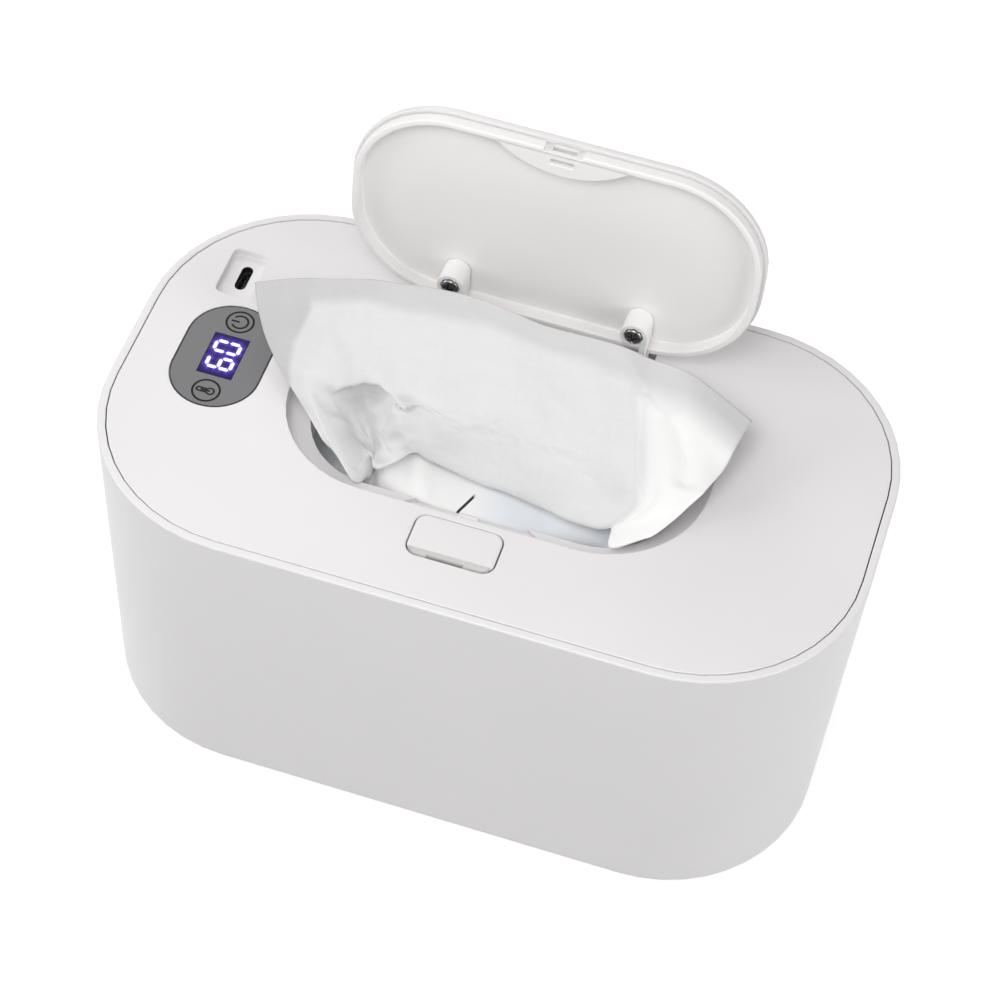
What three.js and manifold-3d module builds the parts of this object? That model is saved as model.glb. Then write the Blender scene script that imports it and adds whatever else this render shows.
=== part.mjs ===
// Baby wipe warmer: a tapered tub, a lift-off heated top cover, a sprung lid and a push-button latch.
// Millimetres, +Z up. The origin is the middle of the footprint, on the surface that the feet stand on.
// X runs along the length and -Y is the front, where the latch button is.
import * as THREE from 'three';
import { mergeVertices } from 'three/addons/utils/BufferGeometryUtils.js';
import Module from 'manifold-3d';

const wasm = await Module();
wasm.setup();

// Clearances that every piece shares
const gap = 0.3; // between pieces that seat in or on each other
const slideGap = 0.4; // beside pieces that slide
const overrun = 1; // how far a cutter passes the face that it opens

// Roundness: straight steps in a quarter turn, and sides of a small round piece
const largeCorner = 11;
const smallCorner = 3;
const edgeRound = 2;
const roundSides = 8;
const springSides = 4;
const springSteps = 8; // in one turn
const leadSides = 5;
const leadSteps = 18;
const leadTension = 0; // no rounding between the places on its route

// Tub
const bodyLength = 210;
const bodyWidth = 123.1;
const bodyCorner = 46.7;
const bodyHeight = 101.5;
const bodyDraft = 3.06; // how far each side leans in between rim and base
const baseFillet = 3.2;
const wallThickness = 3.2;
const floorThickness = 2.6;
const floorFillet = 2.4;
const rimWidth = 2.25;
const rimRound = 0.5;
const shelfDepth = 13.1; // from the rim down to the shelf that carries the top cover

// Rubber feet
const footProud = 0.8;
const footSunk = 0.8;
const footRadius = 7;
const footInsetX = 43; // from the rim to the middle of a foot
const footInsetY = 27.55;

// Deck panel
const deckThickness = 2.2;
const deckEdgeRound = 0.4;
const skirtDepth = 9.4;
const skirtThickness = 1.8;
const moulding = 2; // wall of every pocket that hangs under the deck

// Lid, measured closed: depths run down from its outer face
const lidLengthShare = 0.5438; // of the body's length
const lidWidthShare = 0.51665; // of the body's width
const lidCornerShare = 0.43396; // of the lid's width
const lidCentreShare = 0.020715; // of the body's width
const lidGap = 0.75;
const lidPlate = 0.9;
const bandDepth = 2.2;
const bandThickness = 1.4;
const lidEdgeRound = 0.8;
const linerPlate = 0.8;
const linerDepth = 5.6;
const linerStep = 0.9; // the bead stands back this far from the band above it
const beadWidth = 2;
const beadRound = 0.7;
const openAngle = THREE.MathUtils.degToRad(94);

// Catch on the lid's front edge
const padHalfChord = 17.6;
const padSagitta = 6.3;
const padProud = 0.8; // below the bead's face
const catchSlotLength = 6.4;
const catchSlotWidth = 1.5;
const catchLipWidth = 1.8;
const catchLipThickness = 2;
const catchNotchLength = 10.5;
const catchNotchDepth = 1.4;

// Seat of the lid and the dispensing opening
const seatDepth = 6;
const ledgeWidth = 6.5;
const throatDepth = 18.5;
const throatThickness = 1.8;
const reliefGap = 1; // round the catch pad, where the ledge is let down to take it
const reliefDepth = 1.6;

// Hinge
const hingeSetback = 5.6; // from the lid's back edge to the pin
const hingeDepth = 2.8; // from the deck's face down to the pin
const pinRadius = 1;
const pinLength = 17.4;
const armShare = 0.22636; // of the lid's length, from the middle to an arm
const armThickness = 1.6;
const barrelRadius = 2.5;
const barrelLength = 6;
const armBossRadius = 3.7;
const armBossDepth = 9.6;
const armBossSetback = 9.7; // from the lid's back edge to the boss
const pillarRadius = 2.1;
const pillarDepth = 7;
const lidScrewHeadRadius = 2.5;
const lidScrewHeadProud = 0.6;
const hingeSlotLeft = 4.7;
const hingeSlotRight = 5.9;
const hingeSlotBack = 3.05; // from the pin to the slot's back wall, where the arm stops
const hingeSlotDepth = 10.4;
const hingeSpringRadius = 1.95;
const hingeSpringWire = 0.4;
const hingeSpringPitch = 0.52;
const hingeSpringTurns = 3;

// Latch
const buttonLength = 23.4;
const buttonWidth = 13.1;
const buttonCorner = 3.2;
const buttonSetback = 9.75; // from the lid's front edge to its middle
const buttonProud = 0.5;
const buttonRound = 1;
const buttonGap = 0.35;
const buttonTop = 1.6;
const buttonWall = 1.3;
const buttonSkirt = 5.2;
const buttonFlange = 1;
const flangeThickness = 1.2;
const latchTravel = 1.2;
const slideWidth = 9;
const slideDepth = 2.9; // from the deck's face down to the slide's top
const slideBlock = 3;
const tongueThickness = 1.2;
const noseWidth = 5.4;
const noseReach = 0.75; // how far the nose hooks over the lid's lip
const noseTip = 0.4;
const rampWidth = 4;
const rampThickness = 2.6;
const rampShare = 0.45; // of the slide block's length, from its front
const railThickness = 0.6;
const retainerDepth = 7;
const retainerThickness = 1.4;
const retainerHalfLength = 19;
const latchScrewX = 16;
const latchSpringX = 8;
const latchSpringRadius = 1.7;
const latchSpringWire = 0.4;
const latchSpringTurns = 5;

// Inner tray and seals
const flangeDepth = 9.7;
const trayFlange = 1.8;
const traySideInset = 4.65;
const traySide = 1.6;
const trayDepth = 17.5;
const trayFloor = 1.8;
const trayLipDepth = 5;
const sealWidth = 1.1;
const sealThickness = 1;
const gasketWidth = 2.4;
const gasketThickness = 1.1;

// Screws through the tray into bosses under the deck
const cornerScrewInset = 39; // from the rim
const cornerScrewSetback = 11.6; // behind the throat
const frontScrewShare = 0.14286; // of the body's length, from the middle
const frontScrewInsetY = 15.55;
const backScrewInsetY = 13.55;
const bossRadius = 3;
const slimBossRadius = 2.7;
const pilotRadius = 1.1;
const threadGap = 0.1;
const screwHoleRadius = 1.6;
const screwHeadRadius = 2.7;
const screwHeadHeight = 1.4;
const screwHeadCrown = 0.5;
const coverScrewLength = 9;
const boardScrewLength = 6;
const latchScrewLength = 4;

// Heater
const heatPlateThickness = 0.8;
const heaterFilmThickness = 0.3;
const heaterMargin = 1.5;
const fuseRadius = 1.8;
const fuseLength = 11;
const fuseInset = 25; // from the rim
const fuseY = 8;
const sensorRadius = 1.2;
const sensorLength = 5;
const sensorInset = 21;
const sensorY = -12;
const leadRadius = 0.5;
const leadBend = 5;
const leadPitch = 1.3; // between leads that run side by side
const leadSetback = 3.8; // from the throat to the first row, under the hinge pockets
const filmLeadInset = 29;
const filmLeadY = 0;

// Touch control, display and board, on the left
const controlShare = -0.37333; // of the body's length, from the middle
const controlY = 0.55;
const controlLength = 36.9;
const controlWidth = 24.7;
const membraneThickness = 0.45;
const membraneSink = 0.05;
const windowWidth = 10;
const windowLength = 15;
const displayDrop = 1.1;
const boardThickness = 1.6;
const boardDepth = 11.3;
const boardShift = 0.9; // from the control's middle to the board's
const boardCentreShare = 0.07311; // of the body's width
const boardWidth = 27;
const boardLengthShare = 0.47116; // of the body's width
const boardCorner = 6;
const boardScrewInset = 3.75; // from the board's side edge
const boardScrewSetback = 5.5; // from its end
const backKeyReach = 12.85; // from the control's middle
const frontKeyReach = 13.05;
const touchSpringRadius = 2.6;
const touchSpringWire = 0.5;
const touchSpringTurns = 4;

// USB-C inlet
const inletShift = 5.9; // from the control's middle, outwards
const inletShare = 0.24898; // of the body's width
const inletWidth = 9.8;
const inletLength = 16.9;
const inletCorner = 1.8;
const inletDepth = 2;
const inletFloor = 2;
const slotShift = 5.4;
const slotWidth = 3.2;
const slotLength = 9;
const receptacleWidth = 3.26;
const receptacleLength = 8.94;
const receptacleWall = 0.3;
const usbTongueWidth = 0.7;
const usbTongueLength = 6.7;
const usbTongueShort = 0.8; // below the shell's mouth
const usbBaseHeight = 2;

// Packet of wipes and the wipe that is pulled up
const packetInsetX = 19; // from the rim to the packet's end
const packetInsetY = 14.55;
const packetHeadroom = 27.5; // the packet is lower than the body by this
const packetCorner = 26;
const packetBulge = 5;
const packetCrown = 9;
const slitLength = 44;
const slitWidth = 12;
const slitDepth = 1.6;
const slitX = 4;
const slitY = -4;
const wipeSpanShare = 0.6816; // half the wipe's span, of the opening's length
const wipeReachShare = 0.38388; // of the opening's width
const wipeRise = 35;
const wipeThickness = 0.7;
const wipeRipple = 0.7;
const wipeRippleCount = 9;
const wipeColumns = 34;
const wipeRows = 16;

// Places that follow from the sizes above
const deckZ = footProud + bodyHeight;
const below = (depth) => deckZ - depth;
const endX = bodyLength / 2;
const sideY = bodyWidth / 2;
const lidLength = bodyLength * lidLengthShare;
const lidWidth = bodyWidth * lidWidthShare;
const lidCorner = lidWidth * lidCornerShare;
const lidCentreY = bodyWidth * lidCentreShare;
const lidFrontY = lidCentreY - lidWidth / 2;
const lidBackY = lidCentreY + lidWidth / 2;
const armX = lidLength * armShare;
const hingeY = lidBackY + hingeSetback;
const hingeZ = below(hingeDepth);
const buttonY = lidFrontY - buttonSetback;
const frontScrewX = bodyLength * frontScrewShare;
const throatBackY = lidBackY + lidGap - ledgeWidth + throatThickness;
const cornerScrewX = endX - cornerScrewInset;
const cornerScrewY = throatBackY + cornerScrewSetback;
const controlX = bodyLength * controlShare;
const boardX = controlX + boardShift;
const boardY = bodyWidth * boardCentreShare;
const boardLength = bodyWidth * boardLengthShare;
const inletX = controlX - inletShift;
const inletY = bodyWidth * inletShare;
const slotX = controlX - slotShift;
const packetLength = 2 * (endX - packetInsetX);
const packetWidth = 2 * (sideY - packetInsetY);
const packetHeight = bodyHeight - packetHeadroom;
const coverScrewPlaces = [
  [cornerScrewX, cornerScrewY], [-cornerScrewX, cornerScrewY],
  [cornerScrewX, -cornerScrewY], [-cornerScrewX, -cornerScrewY],
  [frontScrewX, frontScrewInsetY - sideY], [-frontScrewX, frontScrewInsetY - sideY],
  [0, sideY - backScrewInsetY],
];
const boardScrewPlaces = [1, -1].map((side) => [
  boardX + side * (boardWidth / 2 - boardScrewInset),
  boardY + side * (boardLength / 2 - boardScrewSetback),
]);
const latchScrewPlaces = [[-latchScrewX, buttonY], [latchScrewX, buttonY]];

// Outlines: rectangles with round corners, by their overall length in X and width in Y
const outline = (length, width, corner, x = 0, y = 0, steps = smallCorner) => (
  { length, width, corner, x, y, steps });
const grown = (o, by) => outline(
  o.length + 2 * by, o.width + 2 * by, Math.max(o.corner + by, 0), o.x, o.y, o.steps);

const bodyOutline = outline(bodyLength, bodyWidth, bodyCorner, 0, 0, largeCorner);
const rimInner = grown(bodyOutline, -rimWidth);
const deckOutline = grown(rimInner, -gap);
const lidOutline = outline(lidLength, lidWidth, lidCorner, 0, lidCentreY, largeCorner);
const seatOutline = grown(lidOutline, lidGap);
const openingOutline = grown(seatOutline, -ledgeWidth);
const throatOutline = grown(openingOutline, throatThickness);
const buttonOutline = outline(buttonLength, buttonWidth, buttonCorner, 0, buttonY, 2 * smallCorner);
const controlOutline = outline(
  controlWidth, controlLength, controlWidth / 2, controlX, controlY, largeCorner);
const windowOutline = outline(windowWidth, windowLength, 0, controlX, controlY);
const inletOutline = outline(inletWidth, inletLength, inletCorner, inletX, inletY);
const slotOutline = outline(slotWidth, slotLength, slotWidth / 2, slotX, inletY);
const boardOutline = outline(boardWidth, boardLength, boardCorner, boardX, boardY);

// Closed geometry to solid, and booleans between solids
function solid(geometry) {
  const bare = geometry.clone();
  bare.deleteAttribute('normal');
  bare.deleteAttribute('uv');
  const merged = mergeVertices(bare);
  const faces = [];
  for (let i = 0; i < merged.index.count; i += 3) {
    const [a, b, c] = merged.index.array.slice(i, i + 3);
    if (a !== b && b !== c && c !== a) faces.push(a, b, c);
  }
  return new wasm.Manifold(new wasm.Mesh({
    numProp: 3,
    vertProperties: merged.attributes.position.array,
    triVerts: new Uint32Array(faces),
  }));
}
const joined = (...solids) => solids.reduce((whole, piece) => whole.add(piece));
const cut = (base, ...tools) => tools.reduce((whole, tool) => whole.subtract(tool), base);

// Solids that the pieces are made of
function prism(o, low, high) {
  return loft([ring(o, low), ring(o, high)]);
}

function post(radius, x, y, low, high, sides = roundSides) {
  const geometry = new THREE.CylinderGeometry(radius, radius, high - low, sides);
  return solid(geometry.rotateX(Math.PI / 2).translate(x, y, (low + high) / 2));
}

function rodX(radius, from, to, y, z, sides = roundSides) {
  const geometry = new THREE.CylinderGeometry(radius, radius, to - from, sides);
  return solid(geometry.rotateZ(Math.PI / 2).translate((from + to) / 2, y, z));
}

function block(x0, x1, y0, y1, z0, z1) {
  const geometry = new THREE.BoxGeometry(x1 - x0, y1 - y0, z1 - z0);
  return solid(geometry.translate((x0 + x1) / 2, (y0 + y1) / 2, (z0 + z1) / 2));
}

// A side profile drawn in (y, z), carried along X
function profileX(shape, from, to) {
  const geometry = new THREE.ExtrudeGeometry(
    shape, { depth: to - from, bevelEnabled: false, curveSegments: smallCorner });
  const turn = new THREE.Matrix4().makeBasis(
    new THREE.Vector3(0, 1, 0), new THREE.Vector3(0, 0, 1), new THREE.Vector3(1, 0, 0));
  return solid(geometry.applyMatrix4(turn).translate(from, 0, 0));
}

// One ring of a loft: the outline drawn in by an inset, at a height
function ring(o, z, inset = 0, shiftY = 0) {
  const corner = Math.max(o.corner - inset, 0);
  const reachX = o.length / 2 - inset - corner;
  const reachY = o.width / 2 - inset - corner;
  const turns = [[1, 1], [-1, 1], [-1, -1], [1, -1]];
  return turns.flatMap(([sideX, sideY], quarter) => Array.from({ length: o.steps + 1 }, (_, i) => {
    const angle = (quarter + i / o.steps) * Math.PI / 2;
    return [
      o.x + sideX * reachX + corner * Math.cos(angle),
      o.y + shiftY + sideY * reachY + corner * Math.sin(angle),
      z,
    ];
  }));
}

function loft(rings) {
  const count = rings[0].length;
  const last = (rings.length - 1) * count;
  const faces = [];
  for (let level = 0; level < last; level += count) {
    for (let i = 0; i < count; i += 1) {
      const a = level + i;
      const b = level + (i + 1) % count;
      faces.push(a, b, b + count, a, b + count, a + count);
    }
  }
  for (let i = 1; i + 1 < count; i += 1) {
    faces.push(0, i + 1, i, last, last + i, last + i + 1);
  }
  const geometry = new THREE.BufferGeometry();
  geometry.setAttribute('position', new THREE.Float32BufferAttribute(rings.flat(2), 3));
  geometry.setIndex(faces);
  return solid(geometry);
}

// Rings of a rounded edge: outward to upright at the bottom, upright to inward at the top
function roundedEdge(o, z, radius, side, leanAt = () => 0) {
  return Array.from({ length: edgeRound + 1 }, (_, i) => {
    const angle = (i / edgeRound) * Math.PI / 2;
    const turn = side === 'bottom' ? Math.PI / 2 - angle : angle;
    const rise = radius * (1 - Math.sin(turn));
    const height = side === 'bottom' ? z + rise : z - rise;
    return ring(o, height, leanAt(height) + radius * (1 - Math.cos(turn)));
  });
}

function roundedPrism(o, low, high, { bottom = 0, top = 0 }) {
  const start = bottom > 0 ? roundedEdge(o, low, bottom, 'bottom') : [ring(o, low)];
  const end = top > 0 ? roundedEdge(o, high, top, 'top') : [ring(o, high)];
  return loft([...start, ...end]);
}

// A wire along a curve, closed at both ends
function wire(curve, radius, sides, steps) {
  const section = new THREE.Shape();
  for (let k = 0; k < sides; k += 1) {
    const angle = 2 * Math.PI * k / sides;
    const [x, y] = [radius * Math.cos(angle), radius * Math.sin(angle)];
    if (k > 0) section.lineTo(x, y);
    else section.moveTo(x, y);
  }
  return solid(new THREE.ExtrudeGeometry(section, { steps, extrudePath: curve }));
}

// A helix that stands on its end at the origin
class Helix extends THREE.Curve {
  constructor(radius, height, turns) {
    super();
    Object.assign(this, { radius, height, turns });
  }

  getPoint(t, target = new THREE.Vector3()) {
    const angle = t * this.turns * 2 * Math.PI;
    return target.set(this.radius * Math.cos(angle), this.radius * Math.sin(angle), t * this.height);
  }
}

function spring(radius, wireRadius, height, turns) {
  const helix = new Helix(radius, height - 2 * wireRadius, turns);
  return wire(helix, wireRadius, springSides, turns * springSteps).translate(0, 0, wireRadius);
}

// A screw with its head under the origin's level and its shank up +Z
function screw(headRadius, shankLength) {
  const shankRadius = pilotRadius - threadGap;
  const profile = [
    [0, -screwHeadHeight], [headRadius - screwHeadCrown, -screwHeadHeight],
    [headRadius, screwHeadCrown - screwHeadHeight], [headRadius, 0], [shankRadius, 0],
    [shankRadius, shankLength - shankRadius / 2], [0, shankLength],
  ];
  const points = profile.map(([x, y]) => new THREE.Vector2(x, y));
  return new THREE.LatheGeometry(points, roundSides).rotateX(Math.PI / 2);
}

// Materials
const finish = (color, roughness, metalness = 0) => (
  new THREE.MeshStandardMaterial({ color, roughness, metalness }));
const whitePlastic = finish(0xf2f0ef, 0.35);
const linerPlastic = finish(0xf0eeed, 0.42);
const greyFilm = finish(0x808082, 0.4);
const displayGlass = finish(0x1c0f48, 0.15);
const displayBody = finish(0xe8e8e8, 0.5);
const silicone = finish(0xdcdcdc, 0.7);
const rubber = finish(0x3a3a3c, 0.85);
const steel = finish(0xb9bcc0, 0.3, 1);
const springSteel = finish(0x9a9da2, 0.35, 1);
const aluminium = finish(0xc9cbce, 0.4, 1);
const polyimide = finish(0xb8701e, 0.4);
const boardGreen = finish(0x1f5a3a, 0.5);
const blackPlastic = finish(0x18181a, 0.5);
const redLead = finish(0xb3211c, 0.5);
const blackLead = finish(0x1d1d1f, 0.5);
const cloth = finish(0xfafafa, 0.95);
const packetFilm = finish(0xe6edf2, 0.25);

// Tub
const leanAt = (z) => bodyDraft * (deckZ - z) / bodyHeight;

function footPlaces() {
  return [[1, 1], [-1, 1], [1, -1], [-1, -1]].map(([x, y]) => (
    [x * (endX - footInsetX), y * (sideY - footInsetY)]));
}

function tubShell() {
  const outside = loft([
    ...roundedEdge(bodyOutline, footProud, baseFillet, 'bottom', leanAt),
    ...roundedEdge(bodyOutline, deckZ, rimRound, 'top', leanAt),
  ]);
  const wallAt = (z) => leanAt(z) + wallThickness;
  const shelfZ = below(shelfDepth);
  const cavity = loft([
    ...roundedEdge(bodyOutline, footProud + floorThickness, floorFillet, 'bottom', wallAt),
    ring(bodyOutline, shelfZ + overrun, wallAt(shelfZ)),
  ]);
  const mouth = prism(rimInner, shelfZ, deckZ + overrun);
  const sockets = footPlaces().map(([x, y]) => (
    post(footRadius + gap, x, y, footProud - overrun, footProud + footSunk + gap, 2 * roundSides)));
  return cut(outside, cavity, mouth, ...sockets);
}

function foot() {
  const height = footProud + footSunk;
  const edge = footProud / 2;
  const profile = [
    [0, 0], [footRadius - edge, 0], [footRadius, edge], [footRadius, height], [0, height],
  ];
  const points = profile.map(([x, y]) => new THREE.Vector2(x, y));
  return new THREE.LatheGeometry(points, 2 * roundSides).rotateX(Math.PI / 2);
}

// Crescent of the lid's catch pad: an arc that bulges back from a chord near the front edge.
// Drawn larger it is the relief in the ledge, which runs on to the seat's front wall.
const padChordY = lidFrontY + linerStep + beadWidth;
const padRadius = (padHalfChord ** 2 + padSagitta ** 2) / (2 * padSagitta);

function crescent(by, frontY, low, high) {
  const centreY = padChordY + padSagitta - padRadius;
  const disc = post(padRadius + by, 0, centreY, low, high, 6 * largeCorner);
  const reach = padRadius + by + overrun;
  return disc.intersect(block(-reach, reach, frontY, padChordY + reach, low, high));
}

// Deck panel
const slotFrontY = openingOutline.y + openingOutline.width / 2 - overrun;
const slotBackY = hingeY + hingeSlotBack;

function hingePocket(x) {
  return block(x - hingeSlotLeft - moulding - overrun, x + hingeSlotRight + moulding + overrun,
    lidBackY, slotBackY + moulding, below(hingeSlotDepth + moulding), below(deckThickness / 2));
}

function hingeSlot(x) {
  return block(x - hingeSlotLeft, x + hingeSlotRight, slotFrontY, slotBackY,
    below(hingeSlotDepth), deckZ + overrun);
}

function pinBore(x) {
  const side = pinLength / 2 + gap;
  return rodX(pinRadius + gap, pinCentreX(x) - side, pinCentreX(x) + side, hingeY, hingeZ);
}

const pinCentreX = (x) => x + (hingeSlotRight - hingeSlotLeft) / 2;
const seatFrontY = seatOutline.y - seatOutline.width / 2;

function deckPanel() {
  const plate = roundedPrism(deckOutline, below(deckThickness), deckZ, { top: deckEdgeRound });
  const skirt = cut(
    prism(deckOutline, below(skirtDepth), below(deckThickness / 2)),
    prism(grown(deckOutline, -skirtThickness), below(skirtDepth + overrun), below(0)));
  const pan = prism(
    grown(seatOutline, moulding), below(seatDepth + moulding), below(deckThickness / 2));
  const throat = prism(throatOutline, below(throatDepth), below(seatDepth));
  const inletPocket = prism(
    grown(inletOutline, moulding), below(inletDepth + inletFloor), below(deckThickness / 2));
  const relief = seatDepth + reliefDepth;
  const reliefFloor = crescent(reliefGap + moulding, seatFrontY - moulding,
    below(relief + moulding), below(seatDepth));
  const bosses = (places, radius, depth) => places.map(([x, y]) => (
    post(radius, x, y, below(depth), below(deckThickness / 2))));
  const body = joined(plate, skirt, pan, reliefFloor, throat, inletPocket,
    hingePocket(armX), hingePocket(-armX),
    ...bosses(coverScrewPlaces, bossRadius, trayDepth - trayFloor - gap),
    ...bosses(boardScrewPlaces, slimBossRadius, boardDepth - gap),
    ...bosses(latchScrewPlaces, slimBossRadius, retainerDepth - gap));

  const screwPlaces = [...coverScrewPlaces, ...boardScrewPlaces, ...latchScrewPlaces];
  const pilots = screwPlaces.map(([x, y]) => (
    post(pilotRadius, x, y, below(throatDepth), below(deckThickness + gap))));
  const tongueSlot = block(-slideWidth / 2 - slideGap, slideWidth / 2 + slideGap,
    seatFrontY - moulding - overrun, seatFrontY + overrun,
    below(slideDepth + tongueThickness + slideGap), below(slideDepth - slideGap));
  const membraneSeat = prism(
    grown(controlOutline, gap / 2), below(membraneSink + membraneThickness + gap), deckZ + overrun);
  return cut(body,
    prism(seatOutline, below(seatDepth), deckZ + overrun),
    prism(openingOutline, below(throatDepth + overrun), deckZ + overrun),
    crescent(reliefGap, seatFrontY, below(relief), deckZ),
    hingeSlot(armX), hingeSlot(-armX), pinBore(armX), pinBore(-armX),
    prism(grown(buttonOutline, buttonGap), below(deckThickness + overrun), deckZ + overrun),
    tongueSlot, membraneSeat,
    prism(grown(windowOutline, gap), below(deckThickness + overrun), deckZ + overrun),
    prism(inletOutline, below(inletDepth), deckZ + overrun),
    prism(slotOutline, below(inletDepth + inletFloor + overrun), deckZ + overrun),
    ...pilots);
}

// Inner tray, its seal on the tub's shelf and the gasket round the throat
function innerTray() {
  const side = grown(bodyOutline, -traySideInset);
  const flange = prism(deckOutline, below(flangeDepth + trayFlange), below(flangeDepth));
  const tub = prism(side, below(trayDepth), below(trayLipDepth));
  const holes = coverScrewPlaces.map(([x, y]) => (
    post(screwHoleRadius, x, y, below(trayDepth + overrun), below(trayDepth - trayFloor - overrun))));
  return cut(joined(flange, tub),
    prism(grown(side, -traySide), below(trayDepth - trayFloor), deckZ),
    prism(grown(throatOutline, gap), below(trayDepth + overrun), deckZ),
    ...holes);
}

function coverSeal() {
  const top = below(flangeDepth + trayFlange + gap);
  return cut(prism(deckOutline, top - sealThickness, top),
    prism(grown(deckOutline, -sealWidth), top - sealThickness - overrun, top + overrun));
}

function throatGasket() {
  const bottom = below(trayDepth - trayFloor) + gap;
  const inner = grown(throatOutline, gap);
  return cut(prism(grown(inner, gasketWidth), bottom, bottom + gasketThickness),
    prism(inner, bottom - overrun, bottom + gasketThickness + overrun));
}

// Heater: an aluminium plate round the throat with an etched film on it
const heaterHole = grown(throatOutline, 2 * gap + gasketWidth);
const heaterEdge = grown(bodyOutline, -traySideInset - traySide - heaterMargin);

function heaterLayer(bottom, thickness) {
  const bosses = [...coverScrewPlaces, ...boardScrewPlaces].map(([x, y]) => (
    post(bossRadius + heaterMargin, x, y, bottom - overrun, bottom + thickness + overrun)));
  return cut(prism(heaterEdge, bottom, bottom + thickness),
    prism(heaterHole, bottom - overrun, bottom + thickness + overrun),
    ...bosses);
}

const plateZ = below(trayDepth - trayFloor) + gap;
const filmZ = plateZ + heatPlateThickness + gap;
const filmTop = filmZ + heaterFilmThickness;

function thermalFuse() {
  const geometry = new THREE.CylinderGeometry(fuseRadius, fuseRadius, fuseLength, roundSides);
  return geometry.translate(endX - fuseInset, fuseY, filmTop + gap + fuseRadius);
}

function temperatureSensor() {
  const geometry = new THREE.CapsuleGeometry(sensorRadius, sensorLength, edgeRound, roundSides);
  return geometry.translate(endX - sensorInset, sensorY, filmTop + gap + sensorRadius);
}

// A lead leaves the board's edge, runs behind the throat and comes forward to its end on the film
function lead(row, inset, tipY) {
  const level = filmTop + gap + leadRadius;
  const startX = boardX + boardWidth / 2 + gap + leadRadius;
  const tipX = endX - inset;
  const rowY = throatBackY + leadSetback + row * leadPitch;
  const places = [
    [startX, rowY, below(boardDepth)],
    [startX + leadBend, rowY, level],
    [tipX - leadBend, rowY, level],
    [tipX, rowY - leadBend, level],
    [tipX, tipY, level],
  ].map((place) => new THREE.Vector3(...place));
  const curve = new THREE.CatmullRomCurve3(places, false, 'catmullrom', leadTension);
  return wire(curve, leadRadius, leadSides, leadSteps);
}

// Touch control, display and board
function controlMembrane() {
  const top = below(membraneSink);
  return cut(prism(controlOutline, top - membraneThickness, top),
    prism(windowOutline, top - membraneThickness - overrun, top + overrun));
}

function displayWindow() {
  const top = below(membraneSink);
  return prism(grown(windowOutline, -gap / 2), top - membraneThickness, top);
}

function displayModule() {
  return prism(windowOutline, below(boardDepth - gap), below(displayDrop));
}

function controlBoard() {
  const bottom = below(boardDepth + boardThickness);
  const holes = boardScrewPlaces.map(([x, y]) => (
    post(screwHoleRadius, x, y, bottom - overrun, below(boardDepth) + overrun)));
  return cut(prism(boardOutline, bottom, below(boardDepth)), ...holes);
}

// USB-C receptacle that stands on the board
const receptacleTop = below(inletDepth + inletFloor + gap);
const receptacleBottom = below(boardDepth - gap);
const receptacleOutline = outline(
  receptacleWidth, receptacleLength, receptacleWidth / 2, slotX, inletY);

function usbShell() {
  return cut(prism(receptacleOutline, receptacleBottom, receptacleTop),
    prism(grown(receptacleOutline, -receptacleWall), receptacleBottom + receptacleWall,
      receptacleTop + overrun));
}

function usbTongue() {
  const floor = receptacleBottom + receptacleWall + gap;
  const base = prism(grown(receptacleOutline, -receptacleWall - gap), floor, floor + usbBaseHeight);
  const blade = prism(outline(usbTongueWidth, usbTongueLength, 0, slotX, inletY),
    floor + usbBaseHeight / 2, receptacleTop - usbTongueShort);
  return joined(base, blade);
}

// Lid, built closed: its cover, and the liner inside it
const linerOutline = grown(lidOutline, -linerStep);
const linerTop = lidPlate + gap;
const fieldDepth = linerTop + linerPlate;
const beadTop = bandDepth + gap;
const armBossY = lidBackY - armBossSetback;

function lidCover() {
  const shell = roundedPrism(lidOutline, below(bandDepth), deckZ, { top: lidEdgeRound });
  const inside = prism(
    grown(lidOutline, -bandThickness), below(bandDepth + overrun), below(lidPlate));
  return cut(shell, inside);
}

function lidLiner() {
  const core = prism(
    grown(lidOutline, -bandThickness - gap), below(beadTop + linerPlate / 2), below(linerTop));
  const bead = roundedPrism(
    linerOutline, below(linerDepth), below(beadTop), { bottom: beadRound });
  const field = loft([
    ring(linerOutline, below(linerDepth + overrun), beadWidth - beadRound),
    ring(linerOutline, below(linerDepth), beadWidth - beadRound / 2),
    ring(linerOutline, below(linerDepth - beadRound), beadWidth),
    ring(linerOutline, below(fieldDepth), beadWidth),
  ]);
  const padDepth = linerDepth + padProud;
  const rootZ = below(fieldDepth - linerPlate / 2);
  const pad = crescent(0, padChordY - beadRound, below(padDepth), rootZ);
  const pillars = [-armX, armX].map((x) => (
    post(pillarRadius, x, armBossY, below(pillarDepth), rootZ)));
  const pilots = [-armX, armX].map((x) => (
    post(pilotRadius, x, armBossY, below(pillarDepth + overrun), below(fieldDepth))));

  const lipFront = lidFrontY + linerStep + catchNotchDepth;
  const lipBack = lipFront + catchLipWidth;
  const half = catchSlotLength / 2;
  const notch = block(-catchNotchLength / 2, catchNotchLength / 2,
    lidFrontY - overrun, lipFront, below(padDepth + overrun), below(beadTop + gap));
  const pocket = block(-half, half, lipFront - overrun, lipBack + catchSlotWidth,
    below(padDepth - catchLipThickness), below(beadTop + gap));
  const slot = block(-half, half, lipBack, lipBack + catchSlotWidth,
    below(padDepth + overrun), below(beadTop + gap));
  return cut(joined(cut(joined(core, bead), field), pad, ...pillars), notch, pocket, slot, ...pilots);
}

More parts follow.
